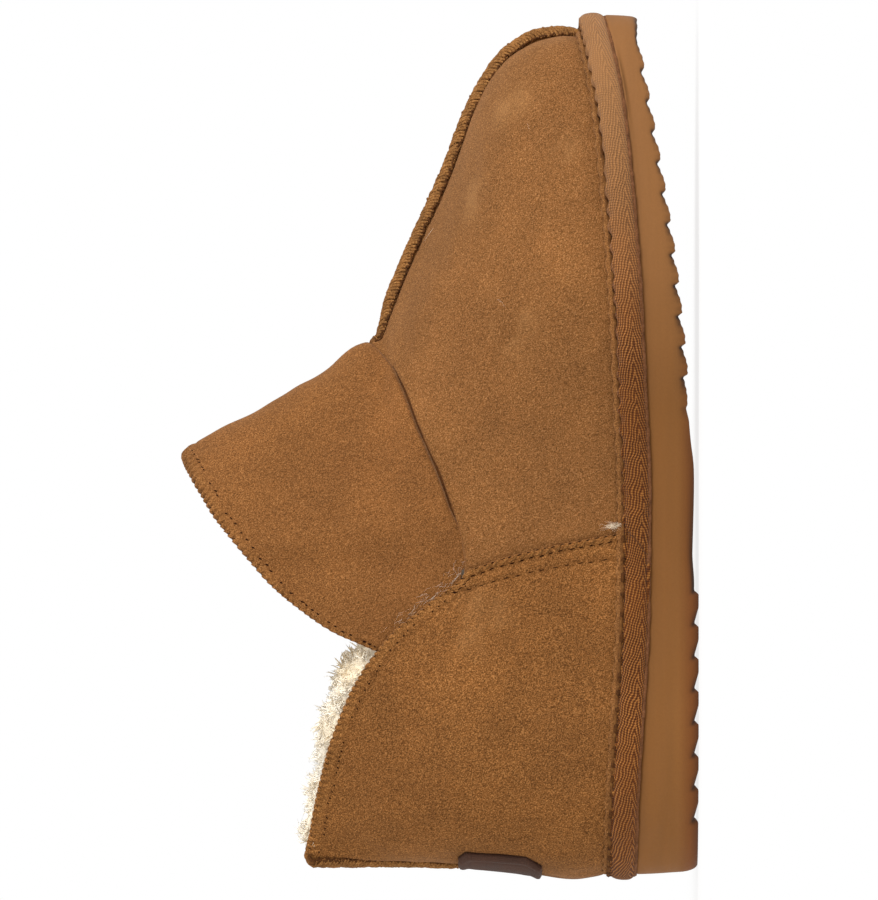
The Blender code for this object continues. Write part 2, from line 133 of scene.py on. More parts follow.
CUFF_EDGE = np.array((
    # along, height
    (120, 156.4), (134, 155.8), (140, 154.2), (152, 148.6), (164, 139.5), (176.5, 128.5),
    (182.6, 120.9), (188.7, 112), (193, 102.5), (200, 86),
))
TAPE_SECTION = np.array((
    # step, share of the cover outwards, millimetres above the sole, millimetres in from the outline
    (0, 0.12, 0.4, 0), (1, 0.5, 0, 0), (2, 1, -0.3, 2.1), (3, 1, 0.3, 0.95), (4, 1, 1.7, 0.2),
    (5, 1, 3.4, 0), (6, 1, 5.1, 0.25), (7, 1, 6.4, 0.9), (8, 1, 7.3, 1.8), (9, 0.5, 7.5, 0),
    (10, 0.4, 6.8, 0), (11, 0.33, 5.6, 0), (12, 0.27, 4.3, 0), (13, 0.16, 3.6, 0),
))
WELT_SECTION = np.array((
    # step, share of the cover outwards, millimetres above the sole, millimetres in from the outline
    (0, 0.2, 3.6, 0), (1, 0.26, 5.6, 0), (2, 0.25, 7.6, 0), (3, 0.19, 9, 0), (4, 0.09, 9.6, 0),
    (5, -0.01, 9.2, 0), (6, -0.06, 7.8, 0), (7, -0.06, 3.8, 0),
))
GUTTER_SECTION = np.array((
    # step, share of the cover outwards, millimetres above the sole, millimetres in from the outline
    (0, 0.29, 7.9, 0), (1, 0.36, 7.75, 0),
))
CREASES = (
    # side, along, height, half length, half width, lean in degrees, swell (a trough is minus)
    (-1, 34, 59, 14, 6, -25, 0.5), (-1, 34, 42, 15, 8, 5, -0.6), (-1, 62, 66, 18, 8, -20, -0.4),
    (-1, 74, 40, 22, 10, 12, 0.5), (-1, 104, 48, 16, 9, 50, -0.6), (-1, 118, 66, 14, 7, 60, 0.5),
    (-1, 140, 40, 20, 8, -5, 0.45), (-1, 192, 70, 20, 9, 65, 0.6), (-1, 214, 55, 22, 9, 20, -0.6),
    (-1, 236, 92, 16, 8, 75, -0.5), (-1, 232, 36, 20, 8, -10, 0.5), (-1, 140, 118, 18, 8, 50, -0.5),
    (-1, 160, 104, 16, 8, 45, 0.5), (1, 38, 56, 16, 7, -20, 0.6), (1, 58, 44, 20, 8, 10, -0.6),
    (1, 96, 58, 20, 9, 40, 0.5), (1, 126, 46, 18, 8, 15, -0.6), (1, 196, 60, 22, 9, 50, 0.6),
    (1, 226, 84, 18, 8, 70, -0.5), (1, 222, 40, 20, 8, 5, -0.4), (1, 148, 112, 18, 8, 50, 0.5),
)


def linear(hex_colour):
    """Linear red, green and blue of an sRGB hex value."""
    parts = [(hex_colour >> shift & 255) / 255 for shift in (16, 8, 0)]
    return tuple(c / 12.92 if c <= 0.04045 else ((c + 0.055) / 1.055) ** 2.4 for c in parts)


def length_value(label, text, millimetres):
    return FloatProperty(name=label, description=text, default=millimetres * MM, min=0.0, unit="LENGTH")


def colour_value(label, text, hex_colour):
    return FloatVectorProperty(
        name=label, description=text, default=linear(hex_colour), size=3, min=0.0, max=1.0, subtype="COLOR"
    )


class SlipperSizes(bpy.types.PropertyGroup):
    """Sizes of the fine work on the slipper."""

    edge_pitch: length_value("Edge stitch", "Distance between the stitches over an edge", 2.25)
    edge_reach: length_value("Edge reach", "How far below the edge those stitches pierce the suede", 3.4)
    seam_pitch: length_value("Seam stitch", "Distance between the threads over a raised seam", 1.0)
    thread: length_value("Thread", "Thickness of the overlock thread", 0.86)
    rand_pitch: length_value("Rand stitch", "Distance between the stitches that pull in the rand", 5.8)
    wale: length_value("Twill rib", "Distance between the ribs of the twill tape", 0.9)
    nap: length_value("Nap grain", "Size of the grains of the suede nap", 0.44)
    pile: length_value("Pile", "Length of the locks of the shearling at the collar", 4.8)
    locks: IntProperty(
        name="Locks", description="Number of locks of pile at the collar", default=14000, min=1000
    )


class SlipperColours(bpy.types.PropertyGroup):
    """Colours of the slipper's materials."""

    suede: colour_value("Suede", "Chestnut suede", 0x784D27)
    suede_dark: colour_value("Suede shade", "Suede where the nap lies away from the eye", 0x553618)
    suede_light: colour_value("Suede light", "Suede where the nap is brushed up", 0x9E6F42)
    tape: colour_value("Tape", "Twill tape of the rand", 0x713E16)
    tape_dark: colour_value("Tape shade", "Between the ribs of the tape", 0x462510)
    rubber: colour_value("Rubber", "Foam rubber of the sole", 0x81552B)
    thread: colour_value("Thread", "Overlock thread", 0x83572B)
    fleece: colour_value("Fleece", "Tips of the shearling", 0xFFF8EA)
    fleece_root: colour_value("Fleece root", "Foot of the pile", 0xF5E9D2)
    label: colour_value("Label", "Bare leather of the heel label", 0x4B3226)
    # painted shade: the dark inside a stitch hole, as a colour
    hole: colour_value("Hole", "Inside of a stitch hole", 0x2A1408)
    floor: colour_value("Floor", "Studio floor", 0xF4F3F1)


def size(name):
    """One of the sizes, in millimetres."""
    return getattr(bpy.context.scene.slipper_sizes, name) / MM


def colour(name):
    return tuple(getattr(bpy.context.scene.slipper_colours, name))


# The last

def read(table, x, column=1):
    """Monotone cubic through a column of a table, level beyond both ends."""
    xs, ys = table[:, 0], table[:, column]
    slopes = np.diff(ys) / np.diff(xs)
    before, after = slopes[:-1], slopes[1:]
    turning = before * after <= 0
    inner = np.where(turning, 0.0, 2 * before * after / np.where(turning, 1.0, before + after))
    tangents = np.concatenate((slopes[:1], inner, slopes[-1:]))
    x = np.clip(x, xs[0], xs[-1])
    i = np.clip(np.searchsorted(xs, x, side="right") - 1, 0, len(xs) - 2)
    span = xs[i + 1] - xs[i]
    t = (x - xs[i]) / span
    return (
        ys[i] * (1 + 2 * t) * (1 - t) ** 2
        + tangents[i] * span * t * (1 - t) ** 2
        + ys[i + 1] * t * t * (3 - 2 * t)
        + tangents[i + 1] * span * t * t * (t - 1)
    )


def ease(x, start, end):
    t = np.clip((x - start) / (end - start), 0.0, 1.0)
    return t * t * (3 - 2 * t)


def mix(a, b, share):
    return a + (b - a) * share


def bell(x, width):
    return np.exp(-((x / width) ** 2))


def end_rounding(along):
    """Share of the full half width left by the round toe and heel."""
    toe = 1 - np.maximum(0.0, 1 - along / BALL_ALONG) ** 2
    heel = 1 - np.maximum(0.0, 1 - (SOLE_LENGTH - along) / HEEL_ROUND) ** 2
    return np.maximum(0.0, toe) ** TOE_BLUNTNESS * np.maximum(0.0, heel) ** HEEL_BLUNTNESS


def outline(share, inset, toe_inset):
    """Along and half width of the sole's outline moved in by inset."""
    along = toe_inset + share * (SOLE_LENGTH - inset - toe_inset)
    return along, (read(PLAN, along) - inset) * end_rounding(share * SOLE_LENGTH)


LEVELS = np.arange(15.0, 170.1, 0.5)
DEPTHS = np.arange(-8.0, 30.1, 0.5)


def moved_lines(table, inwards):
    """The front or rear line moved by each depth: the far side of circles drawn along it."""
    fine = np.arange(15.0, 170.05, 0.1)
    line = read(table, fine)
    gap = (fine[None, :] - LEVELS[:, None]) ** 2
    rows = []
    for depth in DEPTHS:
        if depth == 0:
            rows.append(read(table, LEVELS))
            continue
        sign = inwards if depth > 0 else -inwards
        reach = depth * depth - gap
        edge = np.where(reach >= 0, sign * line + np.sqrt(np.maximum(reach, 0.0)), -1e9)
        rows.append(sign * edge.max(axis=1))
    return np.array(rows)


FRONT_MOVED = moved_lines(FRONT_LINE, 1)
REAR_MOVED = moved_lines(REAR_LINE, -1)


def ring_ends(z, depth):
    """Along of the front and rear of the ring at this height and depth."""
    z, depth = np.broadcast_arrays(np.asarray(z, float), np.asarray(depth, float))
    row = np.clip((depth - DEPTHS[0]) / 0.5, 0, len(DEPTHS) - 1.001)
    column = np.clip((z - LEVELS[0]) / 0.5, 0, len(LEVELS) - 1.001)
    i, j = row.astype(int), column.astype(int)
    a, b = row - i, column - j
    ends = []
    for grid in (FRONT_MOVED, REAR_MOVED):
        low = mix(grid[i, j], grid[i, j + 1], b)
        high = mix(grid[i + 1, j], grid[i + 1, j + 1], b)
        ends.append(mix(low, high, a))
    return ends


def surface(angle, z, depth):
    """Points of the last, in millimetres: across, along, height."""
    angle = (np.asarray(angle, float) + 180.0) % 360.0 - 180.0
    side = np.where(angle < 0, -1.0, 1.0)
    front, rear = ring_ends(z, depth)
    lap = read(LAP_LINE, z)
    turn = np.cos(np.radians(angle))
    along = lap - turn * np.where(turn > 0, lap - front, rear - lap)
    share = np.clip((along - front) / (rear - front), 0.0, 1.0)
    on_sole = share * SOLE_LENGTH
    low = (read(PLAN, on_sole) - read(PLAN, on_sole, 4) - depth) * end_rounding(on_sole)
    power = np.where(share < 0.5, 0.5, mix(0.5, read(OVAL, z, 2), ease(share, 0.5, 0.72)))
    high = (read(OVAL, z) - depth) * np.maximum(0.0, 1 - (2 * share - 1) ** 2) ** power
    raised = mix(ease(z, 30.0, 100.0), ease(z, 60.0, 118.0), ease(share, 0.5, 0.8))
    middle = mix(read(PLAN, along, 2), read(PLAN, along, 3), ease(z, 18.0, 78.0))
    across = middle + side * mix(low, high, raised)
    return np.stack(np.broadcast_arrays(across, along, np.asarray(z, float)), axis=-1)


def unit(vectors):
    return vectors / np.maximum(1e-9, np.linalg.norm(vectors, axis=-1, keepdims=True))


def facing(angle, z, depth):
    """Outward direction of the last, from points half a degree or half a millimetre either way."""
    around = surface(angle + 0.5, z, depth) - surface(angle - 0.5, z, depth)
    rising = surface(angle, z + 0.5, depth) - surface(angle, z - 0.5, depth)
    return unit(np.cross(around, rising))


def height_on(table, angle, depth, lowest, highest):
    """Height at which each column of the last meets the edge that the table gives, by halving."""
    angle = np.asarray(angle, float)
    low = np.full(angle.shape, lowest)
    high = np.full(angle.shape, highest)
    for _ in range(26):
        z = 0.5 * (low + high)
        under = z < read(table, surface(angle, z, depth)[..., 1])
        low = np.where(under, z, low)
        high = np.where(under, high, z)
    return low


def upper_top(angle, depth):
    return height_on(UPPER_EDGE, angle, depth, 50.0, 125.0)


def cuff_top(angle, depth):
    return height_on(CUFF_EDGE, angle, depth, 80.0, 165.0)


def foot_height(angle, depth, lift=0.3):
    """Height at which each column stands on the sole."""
    z = np.full(np.shape(angle), 20.0)
    for _ in range(4):
        z = read(SOLE_TOP, surface(angle, z, depth)[..., 1]) + lift
    return z


def cuff_depths(angle):
    """The cuff stands proud of the vamp in front and passes inside the quarters behind."""
    share = ease(np.abs(angle), 79.0, 90.0)
    return [mix(front, rear, share) for front, rear in zip(CUFF_WALL_FRONT, CUFF_WALL_REAR)]


def cuff_foot(angle):
    """The cuff stands on the throat edge, and its rear ends reach down behind the quarters."""
    notch = upper_top(90.0, VAMP_WALL[0]) + 0.3
    front = upper_top(angle, VAMP_WALL[0]) + 0.2 - 2.6 * ease(np.abs(angle), 80.0, 87.0)
    rear = np.maximum(upper_top(angle, QUARTER_WALL[0]) - CUFF_TUCK, notch)
    return np.where(np.abs(angle) <= 90.0, front, rear)


def swells(points):
    """The main creases, as soft troughs and ridges."""
    total = np.zeros(points.shape[:-1])
    for side, along, height, length, width, lean, swell in CREASES:
        turn = math.radians(lean)
        back, up = points[..., 1] - along, points[..., 2] - height
        with_it = back * math.cos(turn) + up * math.sin(turn)
        over_it = up * math.cos(turn) - back * math.sin(turn)
        there = ease(points[..., 0] * side, -4.0, 14.0)
        total += swell * there * bell(with_it, length) * bell(over_it, width)
    return total


def ripple(points, seed, width):
    """Smooth seeded lumps about one width apart, between about -1 and 1."""
    rng = np.random.default_rng(seed)
    total = np.zeros(points.shape[:-1])
    for _ in range(RIPPLE_WAVES):
        direction = rng.normal(size=3)
        direction *= 2 * math.pi / (width * rng.uniform(0.75, 1.5) * np.linalg.norm(direction))
        total += np.sin(points @ direction + rng.uniform(0, 2 * math.pi))
    return total * math.sqrt(2 / RIPPLE_WAVES) * 0.6


# Meshes

def frame_shift():
    """Where the toe end of the centre line lies in the frame: the rand's box says it."""
    shares = 0.5 - 0.5 * np.cos(np.linspace(0, math.pi, 2001))
    along, half = outline(shares, 0.0, 0.0)
    middle = read(PLAN, along, 2)
    low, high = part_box("rand")
    across = 0.5 * (low.x + high.x) / MM - 0.5 * ((middle - half).min() + (middle + half).max())
    return np.array((across, CAD_BOX[0].y / MM, 0.0))


SHIFT = frame_shift()


def in_frame(points):
    """Millimetres along the shoe to metres in the frame."""
    return (np.asarray(points) + SHIFT) * MM


def finished(name, made, material, slot, *nodes):
    """Makes a piece of a bmesh or a mesh, riding on the body."""
    mesh = made
    if isinstance(made, bmesh.types.BMesh):
        mesh = bpy.data.meshes.new(name)
        made.to_mesh(mesh)
        made.free()
    mesh.shade_smooth()
    mesh.materials.append(material)
    obj = bpy.data.objects.new(name, mesh)
    bpy.context.scene.collection.objects.link(obj)
    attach(obj, "root")
    if nodes:
        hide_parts(*nodes)
    return obj


def grid_mesh(points, uv=None):
    """A flat grid laid on an array of points (columns, rows, 3), in millimetres."""
    columns, rows = points.shape[:2]
    made = bmesh.new()
    uv_layer = made.loops.layers.uv.new("UVMap") if uv is not None else None
    bmesh.ops.create_grid(made, x_segments=columns - 1, y_segments=rows - 1, size=0.5)
    for vertex in made.verts:
        i = round((vertex.co.x + 0.5) * (columns - 1))
        j = round((vertex.co.y + 0.5) * (rows - 1))
        vertex.index = i * rows + j
    if uv_layer is not None:
        flat_uv = np.asarray(uv).reshape(-1, 2)
        for face in made.faces:
            for loop in face.loops:
                loop[uv_layer].uv = flat_uv[loop.vert.index]
    placed = in_frame(points).reshape(-1, 3)
    for vertex in made.verts:
        vertex.co = placed[vertex.index]
    return made


def close_up(made):
    """Merges the seams, fills open ends and turns every face outwards."""
    bmesh.ops.remove_doubles(made, verts=made.verts, dist=MERGE * MM)
    open_edges = [edge for edge in made.edges if edge.is_boundary]
    if open_edges:
        filled = bmesh.ops.holes_fill(made, edges=open_edges, sides=0)
        bmesh.ops.triangulate(made, faces=filled["faces"])
    bmesh.ops.recalc_face_normals(made, faces=made.faces)
    if made.calc_volume(signed=True) < 0:
        bmesh.ops.reverse_faces(made, faces=made.faces)
    return made


def even_angles(line, start, end, step):
    """Angles from start to end, evenly apart by about step along the line that they draw."""
    dense = np.linspace(start, end, 1200)
    lengths = run(line(dense))
    count = max(8, round(lengths[-1] / step))
    return np.interp(np.linspace(0, lengths[-1], count + 1), lengths, dense)


def run(points, axis=0):
    """Distance along a line of points, or along the lines of a grid of them."""
    steps = np.linalg.norm(np.diff(points, axis=axis), axis=-1)
    start = np.zeros_like(steps.take([0], axis))
    return np.concatenate((start, np.cumsum(steps, axis=axis)), axis=axis)


def point_at(place, lengths, points):
    """The points of a line at given distances along it."""
    return np.stack([np.interp(place, lengths, points[:, k]) for k in range(3)], axis=-1)


def wave(place, pitch):
    """1 at every pitch and 0 halfway between."""
    return 0.5 + 0.5 * np.cos(2 * math.pi * place / pitch)


def rows_between(bottom, top, shares):
    return bottom[:, None] + (top - bottom)[:, None] * shares[None, :]


def closed_wall(skin, back, notch=0.0):
    """Closed section for each column: up the skin, over a round rim and down the back."""
    top, behind = skin[:, -1], back[:, 0]
    rising = unit(skin[:, -1] - skin[:, -3])
    middle, half = 0.5 * (top + behind), 0.5 * (top - behind)
    reach = np.linalg.norm(half, axis=-1, keepdims=True)
    rims = []
    for turn in np.linspace(0, math.pi, RIM_ROWS + 2)[1:-1]:
        rims.append(middle + half * math.cos(turn) + rising * (reach - notch) * math.sin(turn))
    return np.concatenate((skin, np.stack(rims, axis=1), back, skin[:, :1]), axis=1)


def edge_places(points, edge):
    """Distance along an edge line and away from it, for columns of points that start on it."""
    along_edge = run(edge)
    tangent = unit(np.gradient(edge, axis=0))
    offset = points - edge[:, None, :]
    slide = (offset * tangent[:, None, :]).sum(axis=-1)
    away = np.sqrt(np.maximum(0.0, (offset**2).sum(axis=-1) - slide**2))
    return along_edge[:, None] + slide, away


def uneven(place):
    """Distance along an edge counted in stitches that are a little longer and shorter by turns."""
    return place + 0.4 * np.sin(place / 5.3) + 0.25 * np.sin(place / 2.1 + 1.0)


def stitch_places(length, pitch):
    """Where the stitches over an edge of this length fall."""
    dense = np.arange(0.0, length, 0.05)
    return np.interp(np.arange(pitch, length - 1.0, pitch), uneven(dense), dense)


def stitch_grooves(place, pitch):
    """1 under each stitch and 0 between them."""
    return wave(uneven(place), pitch) ** 2


def edge_puckers(place, away):
    """Suede drawn in along each slanting stitch over an edge, and full between them."""
    reach = size("edge_reach")
    groove = stitch_grooves(place - EDGE_SLANT * away, size("edge_pitch"))
    strength = 1 + 0.5 * np.sin(place / 7.7) * np.sin(place / 3.1)
    fold = -0.2 * bell(away - reach - 0.5, 0.6)
    full = 0.3 * bell(away - 0.55 * reach, 1.4)
    return -0.5 * strength * groove * (1 - ease(away, 0.6, reach)) + fold + full


def lines_mesh(name, paths, radius, material, slot, taper=0.0):
    """Threads: one tube along each path of points, joined in one mesh."""
    curve = bpy.data.curves.new(name, "CURVE")
    curve.dimensions = "3D"
    curve.bevel_depth = radius * MM
    curve.bevel_resolution = 1
    curve.use_fill_caps = True
    for path in paths:
        spline = curve.splines.new("POLY")
        spline.points.add(len(path) - 1)
        placed = np.ones((len(path), 4))
        placed[:, :3] = in_frame(path)
        spline.points.foreach_set("co", placed.ravel())
        if taper:
            ends = np.ones(len(path))
            ends[0] = ends[-1] = 1 - taper
            spline.points.foreach_set("radius", ends)
    holder = bpy.data.objects.new(name + "_path", curve)
    bpy.context.scene.collection.objects.link(holder)
    bpy.context.view_layer.update()
    drawn = holder.evaluated_get(bpy.context.evaluated_depsgraph_get()).to_mesh()
    made = bmesh.new()
    made.from_mesh(drawn)
    bpy.data.objects.remove(holder, do_unlink=True)
    bmesh.ops.recalc_face_normals(made, faces=made.faces)
    return finished(name, made, material, slot)


# Materials

def add(tree, kind, settings=None, **inputs):
    """Adds a node with its settings; an input is a value or the output of another node."""
    made = tree.nodes.new("ShaderNode" + kind)
    for name, value in (settings or {}).items():
        setattr(made, name, value)
    for name, value in inputs.items():
        key = int(name[1:]) if name[0] == "i" and name[1:].isdigit() else name.replace("_", " ")
        if isinstance(value, bpy.types.NodeSocket):
            tree.links.new(value, made.inputs[key])
        else:
            made.inputs[key].default_value = value
    return made


def rgba(value):
    """What a colour input takes: the output of a node as it is, or a colour made opaque."""
    return (*value[:3], 1.0) if isinstance(value, tuple) else value


class Look:
    """A material in the making: its nodes, its shader and where each point of the piece lies."""

    def __init__(self, name, **sockets):
        self.material = bpy.data.materials.new(name)
        self.material.use_nodes = True
        self.tree = self.material.node_tree
        self.shader = self.tree.nodes["Principled BSDF"]
        for key, value in sockets.items():
            self.shader.inputs[key.replace("_", " ")].default_value = value
        coords = self.add("TexCoord").outputs
        self.place, self.uv = coords["Object"], coords["UV"]

    def add(self, kind, settings=None, **inputs):
        return add(self.tree, kind, settings, **inputs)

    def axes(self, source):
        return self.add("SeparateXYZ", Vector=source).outputs

    def math(self, operation, a, b=0.0):
        return self.add("Math", {"operation": operation}, i0=a, i1=b).outputs[0]

    def times(self, a, b):
        return self.math("MULTIPLY", a, b)

    def plus(self, a, b):
        return self.math("ADD", a, b)

    def less(self, a, b):
        return self.math("SUBTRACT", a, b)

    def between(self, source, start, end, first=0.0, last=1.0, smooth=False):
        """A value that goes from first to last while the source goes from start to end."""
        kind = {"interpolation_type": "SMOOTHSTEP" if smooth else "LINEAR"}
        limits = {"From_Min": start, "From_Max": end, "To_Min": first, "To_Max": last}
        return self.add("MapRange", kind, Value=source, **limits).outputs["Result"]

    def ramp(self, source, *stops):
        """A colour ramp with stops of (position, colour or grey)."""
        made = self.add("ValToRGB", Fac=source)
        elements = made.color_ramp.elements
        while len(elements) < len(stops):
            elements.new(0.5)
        for element, (position, value) in zip(elements, stops):
            element.position = position
            element.color = rgba(value if isinstance(value, tuple) else (value,) * 3)
        return made.outputs["Color"]

    def blend(self, a, b, share, mode="MIX"):
        kind = {"data_type": "RGBA", "blend_type": mode}
        return self.add("Mix", kind, i0=share, i6=rgba(a), i7=rgba(b)).outputs[2]

    def vary(self, tone, source, *stops, share=1.0):
        """The tone multiplied by a ramp of the source."""
        return self.blend(tone, self.ramp(source, *stops), share, "MULTIPLY")

    def noise(self, grain, detail=3.0, roughness=0.6, stretch=None, turn=0.0):
        """Noise whose lumps are about one grain wide, in millimetres, and drawn out by the stretch."""
        vector = self.place
        if stretch:
            settings = {"vector_type": "TEXTURE"}
            turned = self.add("Mapping", settings, Vector=vector, Scale=stretch, Rotation=(turn, 0.0, 0.0))
            vector = turned.outputs["Vector"]
        scale = 0.5 / (grain * MM)
        made = self.add("TexNoise", Vector=vector, Scale=scale, Detail=detail, Roughness=roughness)
        return made.outputs["Fac"]

    def feed(self, socket, source):
        self.tree.links.new(source, self.shader.inputs[socket])

    def done(self, tone, *bumps):
        """The material with its colour and its bumps, each of a height, a depth and maybe a strength."""
        self.feed("Base Color", tone)
        below = {}
        for height, depth, *strength in bumps:
            strength = strength[0] if strength else 1.0
            made = self.add("Bump", Height=height, Strength=strength, Distance=depth * MM, **below)
            below = {"Normal": made.outputs["Normal"]}
        if bumps:
            self.feed("Normal", below["Normal"])
        return self.material


BRUSHED_AND_HIGHLIT_SPOTS = (
    # across, along, height, radius: places where the nap is brushed up paler, which also serve as painted
    # highlights where the light falls
    (-26, 27, 58, 13), (-22, 58, 66, 11), (-38, 41, 42, 9), (-40, 96, 58, 16), (-36, 186, 66, 15),
    (28, 34, 54, 13), (30, 82, 66, 15), (36, 204, 62, 16), (2, 257, 92, 10),
)


def suede_material(name, grain, contrast, tint, rim=False):
    """Suede split, brushed and dyed chestnut: a short nap that scatters light, so it is dull, speckled
    at the size of its grains, and softly paler where it is brushed up, partly as painted highlight. The
    grains are drawn about twice as coarse as the nap's own hairs, which would be too fine to see."""
    m = Look(
        name, Roughness=0.95, Sheen_Weight=0.22, Sheen_Roughness=0.42, Specular_IOR_Level=0.12,
        Sheen_Tint=rgba(linear(0xEDBE92)),
    )
    grain = grain * size("nap")
    speckle = m.noise(0.5 * grain, 1.5, 0.65)
    hatch = m.noise(0.62 * grain, 1.5, 0.6, (1.6, 2.6, 1.0), 0.8)
    clouds = m.noise(15.0, 3.0, 0.55)
    streaks = m.noise(7.0, 3.0, 0.6, (1.0, 2.0, 1.0), 0.5)
    dark, mid, light = colour("suede_dark"), colour("suede"), colour("suede_light")
    spread = 0.25 / contrast
    tone = m.ramp(speckle, (0.5 - spread, dark), (0.5, mid), (0.5 + spread, light))
    tone = m.blend(tone, tint, 1.0, "MULTIPLY")
    tone = m.vary(tone, hatch, (0.34, 1 - 0.13 * contrast), (0.66, 1 + 0.13 * contrast))
    tone = m.vary(tone, clouds, (0.3, 0.86), (0.7, 1.11))
    tone = m.vary(tone, streaks, (0.35, 0.93), (0.65, 1.06))
    brushed = 0.0
    for *spot, radius in BRUSHED_AND_HIGHLIT_SPOTS:
        away = m.add("VectorMath", {"operation": "DISTANCE"}, i0=m.place, i1=in_frame(spot)).outputs["Value"]
        near = m.between(away, 0.2 * radius * MM, radius * MM, 1.0, 0.0, smooth=True)
        brushed = m.math("MAXIMUM", brushed, near)
    # paler spots of brushed-up nap, partly painted highlight
    worn = m.times(brushed, m.ramp(streaks, (0.42, 0.0), (0.66, 0.36)))
    tone = m.blend(tone, linear(0xA67A4C), worn)
    if rim:
        tone = rim_tone(m, tone, m.noise(2.6, 2.0))
    return m.done(tone, (hatch, 0.09), (speckle, 0.12))


def rim_tone(m, tone, patchy):
    """A band along a whipped rim: paler where the nap is rubbed, and painted shade in the nicks between the
    stitches.
    """
    reach, pitch = size("edge_reach"), size("edge_pitch")
    parts = m.axes(m.uv)
    away = m.math("ABSOLUTE", parts["Y"])
    band = m.between(away, (reach - 0.4) * MM, (reach + 1.2) * MM, 1.0, 0.0, smooth=True)
    near = m.between(away, 0.0, reach * MM, 1.0, 0.25)
    slid = m.less(parts["X"], m.times(away, EDGE_SLANT))
    beat = m.math("COSINE", m.times(slid, 2 * math.pi / (pitch * MM)))
    # painted shade: dark in the nicks between the stitches, where shade falls
    nick_shade = m.times(m.ramp(beat, (0.25, 0.0), (0.95, 1.0)), m.ramp(patchy, (0.3, 0.25), (0.65, 1.0)))
    tone = m.blend(tone, m.blend(tone, (1.16, 1.2, 1.22), 1.0, "MULTIPLY"), band)
    return m.blend(tone, linear(0x3E230C), m.times(m.times(nick_shade, band), m.times(near, 0.8)))


def tape_material():
    """Cotton twill tape, woven in a herringbone: slanting ribs that turn back near the sole's side of
    the tape, each with the small beads of its yarns, and worn soft in places."""
    m = Look(
        "cotton_twill_tape", Roughness=0.92, Sheen_Weight=0.05, Sheen_Roughness=0.5, Specular_IOR_Level=0.15
    )
    parts = m.axes(m.uv)
    waver = m.times(m.less(m.noise(4.0, 2.0), 0.5), 2.4 * MM)
    folded = m.math("ABSOLUTE", m.plus(parts["Y"], waver))
    shaken = m.times(m.less(m.noise(1.6, 1.0), 0.5), 0.9)
    turns = 1 / (size("wale") * MM)
    over, forward = turns * math.cos(TWILL_LEAN), turns * math.sin(TWILL_LEAN)
    phase = m.plus(m.plus(m.times(folded, over), m.times(parts["X"], forward)), shaken)
    rib = m.math("SINE", m.times(phase, 2 * math.pi))
    bead_phase = m.less(m.times(parts["X"], over * 1.2), m.times(folded, forward * 1.2))
    bead = m.math("SINE", m.times(bead_phase, 2 * math.pi))
    weave = m.plus(m.times(rib, 0.36), m.times(bead, 0.2))
    wear = m.ramp(m.noise(9.0), (0.35, 1.0), (0.7, 0.65))
    height = m.plus(m.times(weave, wear), 0.5)
    fuzz = m.noise(0.4, 2.0)
    tone = m.ramp(height, (0.05, colour("tape_dark")), (0.5, colour("tape")), (0.95, linear(0xA8723E)))
    tone = m.vary(tone, m.noise(16.0, 2.0, 0.5), (0.3, 0.86), (0.7, 1.1))
    tone = m.vary(tone, fuzz, (0.3, 0.84), (0.7, 1.14))
    # painted highlight: the tape is paler towards the toe, where the light falls, and given as scuffing there
    # too
    toe_highlight_and_scuff = m.between(m.axes(m.place)["Y"], -0.02, -0.118, 0.0, 0.6, smooth=True)
    tone = waist_painted_shade(m, m.blend(tone, linear(0xA2754A), toe_highlight_and_scuff))
    return m.done(tone, (fuzz, 0.12), (height, 0.4))


def waist_painted_shade(m, tone):
    """Painted shade: darker and browner at the waist, where less light falls, and lighter towards the ends.
    """
    share = m.between(m.axes(m.place)["Y"], CAD_BOX[0].y, CAD_BOX[1].y)
    waist, heel = (0.84, 0.79, 0.6), (0.97, 0.93, 0.77)
    return m.vary(tone, share, (0.0, 1.0), (0.3, 1.0), (0.47, waist), (0.66, waist), (0.9, heel))


def rubber_material():
    """Expanded foam rubber, moulded: a closed matt skin with faint bands along the wall, a lower edge
    painted darker and redder as shade, a few rubbed spots and painted shade in the grooves of the tread."""
    m = Look("moulded_foam_rubber", Roughness=0.72, Specular_IOR_Level=0.22)
    bands = m.noise(2.2, 2.0, 0.5, (5.0, 25.0, 1.0))
    skin = m.noise(0.35)
    rubbed = m.noise(4.0, 5.0, 0.75, (1.0, 2.5, 0.55))
    tone = m.vary(colour("rubber"), bands, (0.3, 0.94), (0.7, 1.05))
    tone = m.blend(tone, linear(0xA5794C), m.ramp(rubbed, (0.68, 0.0), (0.8, 0.4)))
    tone = m.vary(tone, skin, (0.25, 0.95), (0.75, 1.04))
    # painted shade: the wall is darker and redder towards the floor
    low = m.times(m.axes(m.place)["Z"], 1 / (9.0 * MM))
    tone = m.vary(tone, low, (0.0, linear(0xB49C8C)), (0.25, linear(0xE8D2C0)), (0.7, 1.0))
    # painted shade: the grooves of the tread are darkened where shade falls in them
    grooves = m.axes(m.uv)
    tone = m.blend(waist_painted_shade(m, tone), linear(0x2E1B0D), m.times(grooves["X"], grooves["Y"]))
    m.feed("Roughness", m.between(rubbed, 0.4, 0.8, 0.68, 0.82))
    return m.done(tone, (skin, 0.03), (bands, 0.12, 0.6))


def thread_material(name, *tones):
    """Spun polyester thread: twisted plies with a slight gloss, which read as fine slanting lines."""
    m = Look(name, Roughness=0.85, Specular_IOR_Level=0.15)
    plies = m.noise(0.26, 2.0)
    shades = [colour(tone) if isinstance(tone, str) else linear(tone) for tone in tones]
    tone = m.ramp(plies, *zip((0.28, 0.5, 0.78), shades))
    return m.done(m.vary(tone, m.noise(1.5, 2.0), (0.3, 0.72), (0.7, 1.2)), (plies, 0.16))


